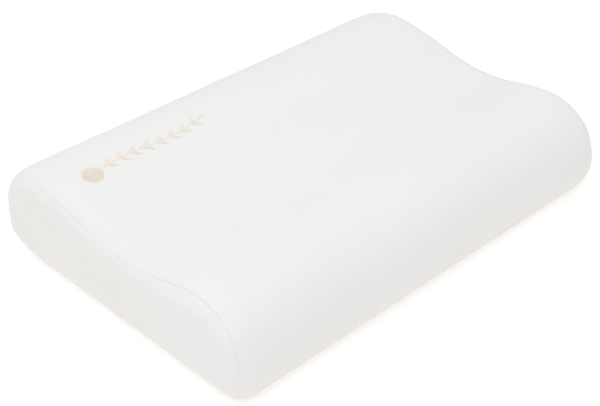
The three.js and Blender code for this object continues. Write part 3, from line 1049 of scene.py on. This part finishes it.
def puckered(run, off_seam, cloth, seed):
    """Ripples across a seam that die away from it: short ones from the stitches, and long soft drags."""
    rise = 1 - np.exp(-((off_seam / (2.2 * MM)) ** 2))
    short = smooth_noise(run, seed, 11 * MM) + 0.5 * smooth_noise(run, seed + 1, 5.5 * MM)
    out = short * rise * np.exp(-off_seam / (7 * MM)) * cloth.pucker
    settled = 1 - np.exp(-((off_seam / (9 * MM)) ** 2))
    long = smooth_noise(run + 0.35 * off_seam, seed + 2, 46 * MM)
    return out + long * settled * np.exp(-off_seam / (34 * MM)) * cloth.drag


def undulation(x, run, cloth):
    """The slow unevenness of cloth over foam."""
    one_way = smooth_noise(x + 0.5 * run, SEED + 40, 170 * MM)
    other_way = smooth_noise(run - 0.3 * x, SEED + 41, 120 * MM)
    return 0.5 * (one_way + other_way) * cloth.unevenness


def wrap_stations(section, cloth):
    """Stations round the wrap, with extra ones where its edges roll in above and below the zip."""
    shape = section.shape
    band = shape.band_top - shape.band_bottom
    rolls = (0.0, 0.7 * MM, 2 * MM)
    edges = [ZIP_HEIGHT + side * (cloth.slot / 2 + roll) for side in (1, -1) for roll in rolls]
    return section.stations(cloth.grid, [BAND + (shape.band_top - z) / band for z in edges])


def wrap_columns(shape, cloth, stations):
    """Columns from one end seam to the other, with one at each end of the zip's opening."""
    start = seam_angles(cloth, stations) + SEAM_CLEAR / shape.end_round
    left = seam_columns(shape, cloth, -1, -1, stations)
    left += [end_column(shape, -1, 0, angle) for angle in np.linspace(start, math.pi / 2, 7)]
    open_half = LENGTH / 2 - cloth.end_margin
    steps = int(2 * open_half / cloth.grid)
    margin = np.linspace(shape.end_round - LENGTH / 2, -open_half, 8)[1:]
    straight = np.concatenate([margin, np.linspace(-open_half, open_half, steps)[1:-1], -margin[::-1]])
    return both_ends(left, [(x, 0.0) for x in straight])


def cover_wrap(section, cloth, drape, material):
    """The wrap round front, top, back and underside, with the zip's opening left out of it."""
    stations = wrap_stations(section, cloth)
    columns = wrap_columns(section.shape, cloth, stations)
    rings = [ring_points(section, stations, column) for column in columns]
    points = np.concatenate(rings)
    xs = points[:, 0].copy()
    runs = np.tile(section.run(stations), len(columns))
    over = distance_over(rings)
    off_seam = np.minimum(over, over[-1] - over).ravel()
    open_half = LENGTH / 2 - cloth.end_margin
    back_face = section.back - 5 * MM

    faces = []
    for face in loft_faces(len(columns), len(stations)):
        x, y, z = points[list(face)].mean(0)
        if not (y > back_face and abs(x) < open_half and abs(z - ZIP_HEIGHT) < cloth.slot / 2):
            faces.append(face)

    points = drape_points(points, section, cloth, drape)
    ripple = puckered(runs, off_seam, cloth, SEED) + undulation(xs, runs, cloth)
    ripple *= eased(points, section, cloth)[:, 0]
    points += point_normals(points, faces) * ripple[:, None]
    turned_in = (points[:, 1] > back_face) & (np.abs(xs) < open_half + 0.1 * MM)
    turned_in &= np.abs(points[:, 2] - ZIP_HEIGHT) < cloth.slot / 2 + 0.3 * MM
    points[turned_in, 1] -= 0.7 * MM

    uvs = np.column_stack([(over - over[-1] / 2).ravel(), runs])
    return cloth_piece("cover_wrap_knit", *cut_out(points, faces, uvs), cloth.thickness, material)


def end_shape(section, stations, side, columns, fills):
    """An end, from its seam in to the middle of its face: points, faces that face out, and its rings."""
    rings = [ring_points(section, stations, column) for column in columns]
    middle_z = (section.shape.band_bottom + section.shape.band_top) / 2
    middle = np.array([rings[-1][0][0], 0, middle_z])
    rings += [middle + (rings[-1] - middle) * share for share in np.linspace(1, 0, fills)[1:-1]]
    count = len(stations)
    points = np.concatenate(rings + [[middle]])
    faces = loft_faces(len(rings), count)
    last = (len(rings) - 1) * count
    faces += [(last + j, len(points) - 1, last + (j + 1) % count) for j in range(count)]
    return points, facing(points, faces, -1, (side, 0, 0)), rings


def cover_end(section, cloth, drape, side, name, material):
    """One end panel of the cover."""
    shape = section.shape
    stations = section.stations(cloth.grid)
    start = seam_angles(cloth, stations) - SEAM_CLEAR / shape.end_round
    columns = seam_columns(shape, cloth, side, 1, stations)
    columns += [end_column(shape, side, 0, angle) for angle in np.linspace(start, 0, 6)]
    points, faces, rings = end_shape(section, stations, side, columns, 12)
    uvs = points[:, 1:3].copy()
    runs = np.append(np.tile(section.run(stations), len(rings)), 0)
    off_seam = np.append(distance_over(rings).ravel(), FACE_MIDDLE)
    points = drape_points(points, section, cloth, drape)
    ripple = puckered(runs, off_seam, cloth, SEED + 20 + side)
    ripple += undulation(points[:, 2] * 1.6, points[:, 1], cloth)
    ripple *= np.clip(points[:, 2] / FLOOR_FADE, 0, 1)
    points += point_normals(points, faces) * ripple[:, None]
    return cloth_piece(f"cover_end_{name}_knit", points, faces, uvs, cloth.thickness, material)


# ---- Operators -----------------------------------------------------------------------------------------

def settings_of(context):
    scene = context.scene
    return Section(scene.pillow_section), scene.pillow_cloth


def stretch_wrap(section):
    """Measures the distance once round the section, along which the wrap is cut from end seam to end seam;
    the result is not used.
    """
    section.girth()


class PILLOW_OT_foam_core(bpy.types.Operator):
    """Adds the moulded foam block"""

    bl_idname = "pillow.foam_core"
    bl_label = "Foam core"

    def execute(self, context):
        section, _ = settings_of(context)
        shape = section.shape
        angles = np.linspace(0, math.pi / 2, 9)
        left = [end_column(shape, -1, CORE_DEPTH, a) for a in angles]
        straight = [(x, CORE_DEPTH) for x in np.linspace(left[-1][0], -left[-1][0], 60)[1:-1]]
        columns = both_ends(left, straight)
        points, faces = skin(section, section.stations(7 * MM), columns, 8)
        piece = new_object("foam_block", mesh_of("foam_block", points, faces), foam_material())
        finish_piece(piece, BODY, "foam", "foam_core")
        return {"FINISHED"}


class PILLOW_OT_liner(bpy.types.Operator):
    """Adds the jersey liner: a tube and two end panels"""

    bl_idname = "pillow.liner"
    bl_label = "Liner"

    def execute(self, context):
        section, cloth = settings_of(context)
        shape = section.shape
        jersey = knit_material("liner_jersey_cloth", (0.9, 0.9, 0.89), 1.0 * MM, 0.9 * MM, 0.12 * MM)
        stations = section.stations(7 * MM)
        gap = 0.3 * MM / shape.end_round
        angles = np.linspace(cloth.seam_angle + gap, math.pi / 2, 6)
        left = [end_column(shape, -1, LINER_DEPTH, a) for a in angles]
        straight = [(x, LINER_DEPTH) for x in np.linspace(left[-1][0], -left[-1][0], 60)[1:-1]]
        columns = both_ends(left, straight)
        rings = [ring_points(section, stations, c) for c in columns]
        points, faces = np.concatenate(rings), loft_faces(len(rings), len(stations))
        uvs = np.column_stack([points[:, 0], np.tile(section.run(stations), len(columns))])
        tube = cloth_piece("liner_tube_jersey", points, faces, uvs, cloth.liner, jersey)
        finish_piece(tube, BODY, "liner_jersey", "liner_wrap")
        stretch_wrap(section)
        for side, name in ((-1, "left"), (1, "right")):
            self.end(section, cloth, stations, side, name, jersey)
        return {"FINISHED"}

    def end(self, section, cloth, stations, side, name, jersey):
        shape = section.shape
        gap = 0.3 * MM / shape.end_round
        angles = np.linspace(cloth.seam_angle - gap, 0, 5)
        columns = [end_column(shape, side, LINER_DEPTH, angle) for angle in angles]
        points, faces, _ = end_shape(section, stations, side, columns, 8)
        title = f"liner_end_{name}_jersey"
        piece = cloth_piece(title, points, faces, points[:, 1:3], cloth.liner, jersey)
        finish_piece(piece, BODY, "liner_jersey", f"liner_end_{name}")


class PILLOW_OT_cover(bpy.types.Operator):
    """Adds the knitted cover: the wrap and both end panels"""

    bl_idname = "pillow.cover"
    bl_label = "Cover"

    def execute(self, context):
        section, cloth = settings_of(context)
        drape = simulate_cover(section, cloth)
        knit = knit_material("cover_knit_cloth", tuple(cloth.colour), cloth.wale, cloth.course)
        wrap = cover_wrap(section, cloth, drape, knit)
        finish_piece(wrap, BODY, "cover_knit", "cover_wrap")
        stretch_wrap(section)
        for side, name in ((-1, "left"), (1, "right")):
            piece = cover_end(section, cloth, drape, side, name, knit)
            finish_piece(piece, BODY, "cover_knit", f"cover_end_{name}")
            self.seam(context, section, cloth, drape, side, name)
        return {"FINISHED"}

    def seam(self, context, section, cloth, drape, side, name):
        """Short stitches that show along the floor of an end seam."""
        size = context.scene.pillow_zip
        stations = section.stations(size.stitch / 2)
        stations = stations[: len(stations) // 2 * 2]
        lies = seam_depths(cloth, stations) - 0.1 * MM
        column = end_column(section.shape, side, 0, seam_angles(cloth, stations), lies)
        points = drape_points(ring_points(section, stations, column), section, cloth, drape)
        pairs = points.reshape(-1, 2, 3)
        gap = (pairs[:, 1] - pairs[:, 0]) * 0.35
        pairs = np.stack([pairs[:, 0] - gap, pairs[:, 1] + gap], 1)
        thread = sewing_thread(size)
        piece = stitches(f"seam_{name}_stitching", pairs, 0.2 * MM, 0.1 * MM, (side * 0.7, 0, 0.3), thread)
        finish_piece(piece, BODY, "cover_knit")


class PILLOW_OT_zip_tapes(bpy.types.Operator):
    """Adds the two woven tapes behind the opening"""

    bl_idname = "pillow.zip_tapes"
    bl_label = "Zip tapes"

    def execute(self, context):
        woven = weave_material("zip_tape_weave", tuple(context.scene.pillow_zip.colour))
        for name, (low, high) in (("upper", TAPE_UPPER), ("lower", TAPE_LOWER)):
            columns, rows = int((high[0] - low[0]) / (3 * MM)), 8
            xs = np.linspace(low[0], high[0], columns)
            zs = np.linspace(low[2], high[2], rows)
            grid_x, grid_z = np.meshgrid(xs, zs, indexing="ij")
            thick = high[1] - low[1]
            # The woven edge beside the coil is a little fuller than the rest.
            cord = np.exp(-((np.abs(grid_z - ZIP_HEIGHT) / (2.5 * MM)) ** 2))
            grid_y = high[1] - (1 - cord) * 0.25 * thick
            points = np.stack([grid_x, grid_y, grid_z], -1).reshape(-1, 3)
            faces = facing(points, loft_faces(columns, rows, closed=False), 0, (0, 1, 0))
            flat = points[:, [0, 2]]
            piece = cloth_piece(f"zip_tape_{name}_woven", points, faces, flat, 0.7 * thick, woven)
            finish_piece(piece, BODY, "zip_tape", f"zip_tape_{name}")
            size = (high[0] - low[0], high[2] - low[2])
        return {"FINISHED"}


class PILLOW_OT_zip_coils(bpy.types.Operator):
    """Winds the two coils and sews them to their tapes"""

    bl_idname = "pillow.zip_coils"
    bl_label = "Zip coils"

    def execute(self, context):
        size = context.scene.pillow_zip
        nylon = nylon_material(tuple(size.colour))
        thread = thread_material("zip_thread", shade(tuple(size.colour), 0.96))
        tree = shared_tree("wound_coil", coil_tree)
        for name, (low, high), side in (("upper", COIL_UPPER, 1), ("lower", COIL_LOWER, -1)):
            # The heads reach past the rod that stands for them, to just short of the slider's divider.
            reach = np.abs([low[2], high[2]] - np.full(2, ZIP_HEIGHT)).min() - size.head_gap
            low, high = low.copy(), high.copy()
            if side > 0:
                low[2] -= reach
            else:
                high[2] += reach
            middle = (low + high) / 2
            half = (high - low) / 2
            turns = int((high[0] - low[0]) / size.pitch) - 1
            shift = size.pitch / 2 if side > 0 else 0
            start = (low[0] + size.wire + shift, middle[1], middle[2])
            values = {
                "Turns": float(turns),
                "Length": turns * size.pitch,
                "Section": (half[2] - size.wire, half[1] - size.wire, 1.0),
                "Start": start,
                "Radius": size.wire,
                "Material": nylon,
            }
            title = f"zip_coil_{name}_wound"
            piece = tree_result(title, path_mesh(title, [(0, 0, 0), (1, 0, 0)], [(0, 1)]), tree, values)
            finish_piece(piece, BODY, "zip_nylon", f"zip_coil_{name}")
            self.sewing(name, size, thread, start, turns, middle, high, side)
        return {"FINISHED"}

    def sewing(self, name, size, thread, start, turns, middle, high, side):
        """Two rows of stitches over the coil's outer legs, one stitch to two turns."""
        pairs = []
        for row in (0.15 * MM, 0.75 * MM):
            z = middle[2] + side * row
            for i in range(turns // 2):
                x = start[0] + (2 * i + 0.25) * size.pitch
                y = high[1] - 0.12 * MM
                pairs.append([(x, y, z), (x + 1.9 * size.pitch, y, z)])
        title = f"zip_coil_{name}_sewing"
        piece = stitches(title, pairs, 0.14 * MM, 0.16 * MM, (0, 1, 0), thread)
        finish_piece(piece, BODY, "zip_nylon")


class PILLOW_OT_zip_stops(bpy.types.Operator):
    """Adds the crimped stops at both ends of the coils"""

    bl_idname = "pillow.zip_stops"
    bl_label = "Zip stops"

    def execute(self, context):
        enamel = enamel_material(tuple(context.scene.pillow_zip.colour))
        for node in ("zip_top_stop_upper", "zip_top_stop_lower", "zip_bottom_stop"):
            rounded_copy(node, node + "_crimped", 0.25 * MM, enamel, BODY, "zip_enamel")
        return {"FINISHED"}


class PILLOW_OT_zip_slider(bpy.types.Operator):
    """Adds the slider"""

    bl_idname = "pillow.zip_slider"
    bl_label = "Zip slider"

    def execute(self, context):
        enamel = enamel_material(tuple(context.scene.pillow_zip.colour))
        rounded_copy("zip_slider", "zip_slider_cast", 0.2 * MM, enamel, "slider", "zip_enamel")
        return {"FINISHED"}


class PILLOW_OT_pull_tab(bpy.types.Operator):
    """Adds the pull tab"""

    bl_idname = "pillow.pull_tab"
    bl_label = "Pull tab"

    def execute(self, context):
        enamel = enamel_material(tuple(context.scene.pillow_zip.colour))
        rounded_copy("zip_pull_tab", "zip_pull_tab_cast", 0.25 * MM, enamel, "pull_tab", "zip_enamel")
        return {"FINISHED"}


class PILLOW_OT_zip_stitching(bpy.types.Operator):
    """Sews the cover's folded edges to the tapes"""

    bl_idname = "pillow.zip_stitching"
    bl_label = "Zip stitching"

    def execute(self, context):
        size, cloth = context.scene.pillow_zip, context.scene.pillow_cloth
        thread = sewing_thread(size)
        open_half = LENGTH / 2 - cloth.end_margin
        outside = 2.6 * MM
        off = cloth.slot / 2 + outside
        along, across = int(2 * open_half / size.stitch), int(2 * off / size.stitch)
        visible = 0.86 * size.stitch
        pairs = []
        for side in (-1, 1):
            for i in range(along):
                x = (i - along / 2) * size.stitch
                pairs.append(self.stitch(x, ZIP_HEIGHT + side * off, visible, 0))
            for i in range(across):
                z = ZIP_HEIGHT - off + (i + 0.07) * 2 * off / across
                pairs.append(self.stitch(side * (open_half + outside), z, 0, visible))
            pairs += self.tack(side * (open_half + 5 * MM))
        piece = stitches("zip_topstitch", self.settle(pairs), size.thread, 0.2 * MM, (0, 1, 0), thread)
        finish_piece(piece, BODY, "cover_knit")
        return {"FINISHED"}

    def stitch(self, x, z, along_x, along_z):
        return [(x, 0.0, z), (x + along_x, 0.0, z + along_z)]

    def tack(self, x):
        """A bar tack: close short stitches across the end of the opening."""
        count, spacing, reach = 17, 0.55 * MM, 2.4 * MM
        heights = [ZIP_HEIGHT + (i - count // 2) * spacing for i in range(count)]
        return [self.stitch(x - reach / 2, z, reach, 0.2 * MM) for z in heights]

    def settle(self, pairs):
        """Lays the stitches on the cover's back face."""
        cover = surface_of("cover_wrap_knit")
        points = np.array(pairs, float).reshape(-1, 3)
        for p in points:
            hit = cover.ray_cast(Vector((p[0], WIDTH, p[2])), Vector((0, -1, 0)))[0]
            p[1] = (hit.y if hit else WIDTH / 2) - 0.05 * MM
        return points.reshape(-1, 2, 3)


class PILLOW_OT_care_label(bpy.types.Operator):
    """Adds the folded satin label under the zip"""

    bl_idname = "pillow.care_label"
    bl_label = "Care label"
    bend = (LABEL_GAP + LABEL_THICK) / 2

    def execute(self, context):
        low, high = LABEL
        wide, drop = high[0] - low[0], high[2] - low[2]
        across, down = 22, 60
        length = 2 * (drop - self.bend) + math.pi * self.bend
        points, uvs = [], []
        for i in range(across):
            share = i / (across - 1)
            x = low[0] + wide * share
            for j in range(down):
                run = length * j / (down - 1)
                y, z = self.fold(run, drop)
                fall = 1 - z / drop
                wave = 0.5 * MM * math.sin(2 * math.pi * share + 0.6) * fall
                curl = fall**2 * (2.2 * MM + 0.8 * MM * (2 * share - 1) ** 2)
                points.append((x, low[1] + self.bend + y + curl + wave + 0.2 * MM, low[2] + z))
                uvs.append((x, run))
        points = np.array(points)
        in_front = (across // 2) * down + 5
        faces = facing(points, loft_faces(across, down, closed=False), in_front, (0, 1, 0))
        satin = satin_material("label_satin_weave", (0.9, 0.9, 0.885))
        piece = cloth_piece("care_label_satin", points, faces, np.array(uvs), LABEL_THICK, satin)
        finish_piece(piece, BODY, "label_satin", "care_label")
        self.sewing(context.scene.pillow_zip, low, high)
        return {"FINISHED"}

    def fold(self, run, drop):
        """Y and Z at a distance along the strip: down the front layer, round the fold and up the back."""
        straight, bend = drop - self.bend, self.bend
        if run < straight:
            return bend, drop - run
        turn = (run - straight) / bend
        if turn < math.pi:
            return bend * math.cos(turn), bend - bend * math.sin(turn)
        return -bend, bend + run - straight - math.pi * bend

    def sewing(self, size, low, high):
        """A row of stitches through the label's top edge."""
        thread = sewing_thread(size)
        y, z = low[1] + 2 * self.bend + 0.25 * MM, high[2] - 1.6 * MM
        count = int((high[0] - low[0]) / (2.4 * MM))
        pitch = (high[0] - low[0]) / count
        pairs = []
        for i in range(count):
            pairs.append([(low[0] + (i + 0.1) * pitch, y, z), (low[0] + (i + 0.9) * pitch, y, z)])
        sewn = stitches("care_label_stitching", pairs, 0.2 * MM, 0.15 * MM, (0, 1, 0), thread)
        finish_piece(sewn, BODY, "label_satin")


def heading(angle):
    return np.array([math.cos(angle), math.sin(angle)])


class PILLOW_OT_sprig(bpy.types.Operator):
    """Embroiders the sprig on the back lobe"""

    bl_idname = "pillow.sprig"
    bl_label = "Embroidered sprig"

    def execute(self, context):
        size = context.scene.pillow_sprig
        section = Section(context.scene.pillow_section)
        start = (float(SPRIG[0][0]) + size.bud, section.back_crest - size.from_crest)
        pairs = self.stem(size) + self.bud(size)
        step = 1 / (size.pairs + 1)
        for pair in range(size.pairs):
            t = (pair + 1.2) * step
            for side in (-1, 1):
                pairs += self.leaf(size, t, side * math.radians(38))
        pairs += self.leaf(size, 1 - size.stem_width / size.length, 0)
        pairs = np.array(pairs) + np.array(start)
        join = start[0] + size.bud
        thread = embroidery_material(tuple(size.bud_colour), tuple(size.leaf_colour), join)
        pairs = self.settle(pairs)
        piece = stitches("sprig_embroidery", pairs, size.thread, 0.3 * MM, (0, -0.15, 1), thread)
        finish_piece(piece, BODY, "embroidery_thread", "embroidered_sprig")
        return {"FINISHED"}

    def stem_point(self, size, t):
        return np.array([t * size.length, size.rise * t + size.sway * math.sin(2 * math.pi * t)])

    def stem(self, size):
        """Satin stitches slanting across the stem."""
        count = int(size.length / size.spacing)
        pairs = []
        for i in range(count):
            t = i / count
            p, q = self.stem_point(size, t), self.stem_point(size, t + 1 / count)
            along = (q - p) / np.linalg.norm(q - p)
            across = np.array([-along[1], along[0]])
            half = size.stem_width / 2
            pairs.append([p - across * half - along * 0.5 * MM, p + across * half + along * 0.5 * MM])
        return pairs

    def leaf(self, size, t, lean):
        """Satin stitches that slant from the leaf's vein line to both of its edges."""
        root = self.stem_point(size, t)
        ahead = self.stem_point(size, t + 0.01) - root
        lean += math.atan2(ahead[1], ahead[0])
        along = heading(lean)
        across = np.array([-along[1], along[0]])
        pairs = []
        count = int(size.leaf_length / size.spacing)
        for i in range(1, count):
            r = i / count
            half = size.leaf_width * math.sin(math.pi * r**0.8) / 2
            p = root + along * r * size.leaf_length
            for side in (-1, 1):
                lead = along * half * 0.55
                pairs.append([p - lead * 0.2, p + across * side * half + lead * 0.5])
        return pairs

    def bud(self, size):
        """Rings of short slanting stitches, like a rosette."""
        pairs = []
        for ring in range(6):
            inner = size.bud * (0.1 + 0.15 * ring)
            outer = min(inner + size.bud * 0.17, size.bud)
            count = int(2 * math.pi * (inner + size.bud * 0.17) / (size.spacing * 1.15))
            for i in range(count):
                turn = 2 * math.pi * (i + 0.5 * (ring % 2)) / count
                pairs.append([heading(turn) * inner, heading(turn + 0.12) * outer])
        return pairs

    def settle(self, pairs):
        """Lays the stitches on the top of the cover."""
        cover = surface_of("cover_wrap_knit")
        flat = np.asarray(pairs).reshape(-1, 2)
        out = np.zeros((len(flat), 3))
        for i, (x, y) in enumerate(flat):
            hit = cover.ray_cast(Vector((x, y, 1)), Vector((0, 0, -1)))[0]
            out[i] = (x, y, hit.z - 0.02 * MM)
        return out.reshape(-1, 2, 3)


class PILLOW_OT_stage(bpy.types.Operator):
    """Adds the floor, the light and the camera"""

    bl_idname = "pillow.stage"
    bl_label = "Stage"

    def execute(self, context):
        stage = context.scene.pillow_stage
        self.floor(stage)
        self.light(context, stage)
        self.camera(context, stage)
        return {"FINISHED"}

    def floor(self, stage):
        half = 12.0
        under = -0.2 * MM
        points = [(-half, -half, under), (half, -half, under), (half, half, under), (-half, half, under)]
        material = floor_material(tuple(stage.floor), stage.floor_glow)
        floor = new_object("floor", mesh_of("floor", points, [(0, 1, 2, 3)]), material)

    def light(self, context, stage):
        scene = context.scene
        scene.view_settings.view_transform = "Standard"
        world = bpy.data.worlds.new("even_light")
        world.use_nodes = True
        background = world.node_tree.nodes["Background"]
        background.inputs["Strength"].default_value = stage.sky
        g = Graph(world.node_tree)
        direction = g.parts(g.add("ShaderNodeTexCoord")["Generated"])
        height = direction[2].ramp(0.05, 0.75)
        tint = g.mix_colour(height, tuple(stage.horizon), (1.0, 1.0, 1.0))
        g.feed(background.inputs["Color"], tint)
        scene.world = world
        data = bpy.data.lights.new("overhead_softbox", "AREA")
        data.shape, data.size = "SQUARE", SOFTBOX_SIDE
        data.energy = stage.softbox
        light = bpy.data.objects.new("overhead_softbox", data)
        light.location = SOFTBOX_AT
        light.rotation_euler = (-light.location).to_track_quat("-Z", "Y").to_euler()
        scene.collection.objects.link(light)

    def camera(self, context, stage):
        azimuth, elevation = stage.azimuth, stage.elevation
        level = math.cos(elevation)
        back = Vector((math.sin(azimuth) * level, -math.cos(azimuth) * level, math.sin(elevation)))
        target = Vector((0, 0, 48 * MM))
        data = bpy.data.cameras.new("camera")
        data.sensor_width = 36
        data.lens = stage.lens
        camera = bpy.data.objects.new("camera", data)
        camera.location = target + back * stage.distance
        turn = (-back).to_track_quat("-Z", "Y").to_matrix()
        yaw, pitch = stage.aim_right, stage.aim_up
        aim = Matrix.Rotation(-pitch, 3, "X") @ Matrix.Rotation(-yaw, 3, "Y")
        world_to_camera = aim @ turn.transposed()
        camera.rotation_mode = "QUATERNION"
        camera.rotation_quaternion = world_to_camera.transposed().to_quaternion()
        context.scene.collection.objects.link(camera)
        context.scene.camera = camera


OPERATORS = (
    PILLOW_OT_stage,
    PILLOW_OT_foam_core,
    PILLOW_OT_liner,
    PILLOW_OT_cover,
    PILLOW_OT_zip_tapes,
    PILLOW_OT_zip_coils,
    PILLOW_OT_zip_stops,
    PILLOW_OT_zip_slider,
    PILLOW_OT_pull_tab,
    PILLOW_OT_zip_stitching,
    PILLOW_OT_care_label,
    PILLOW_OT_sprig,
)
GROUPS = {
    "pillow_section": PillowSection,
    "pillow_cloth": PillowCloth,
    "pillow_zip": PillowZip,
    "pillow_sprig": PillowSprig,
    "pillow_stage": PillowStage,
}


class PILLOW_PT_sidebar(bpy.types.Panel):
    """Lists the pieces"""

    bl_idname = "PILLOW_PT_sidebar"
    bl_label = "Contour pillow"
    bl_space_type = "VIEW_3D"
    bl_region_type = "UI"
    bl_category = "Pillow"

    def draw(self, context):
        for operator in OPERATORS:
            self.layout.operator(operator.bl_idname)


def register():
    for name, group in GROUPS.items():
        bpy.utils.register_class(group)
        setattr(bpy.types.Scene, name, bpy.props.PointerProperty(type=group))
    for item in (*OPERATORS, PILLOW_PT_sidebar):
        bpy.utils.register_class(item)


def unregister():
    for item in reversed((*OPERATORS, PILLOW_PT_sidebar)):
        bpy.utils.unregister_class(item)
    for name, group in reversed(GROUPS.items()):
        delattr(bpy.types.Scene, name)
        bpy.utils.unregister_class(group)


def main():
    register()
    for operator in OPERATORS:
        group, name = operator.bl_idname.split(".")
        getattr(getattr(bpy.ops, group), name)()


if __name__ == "__main__":
    main()
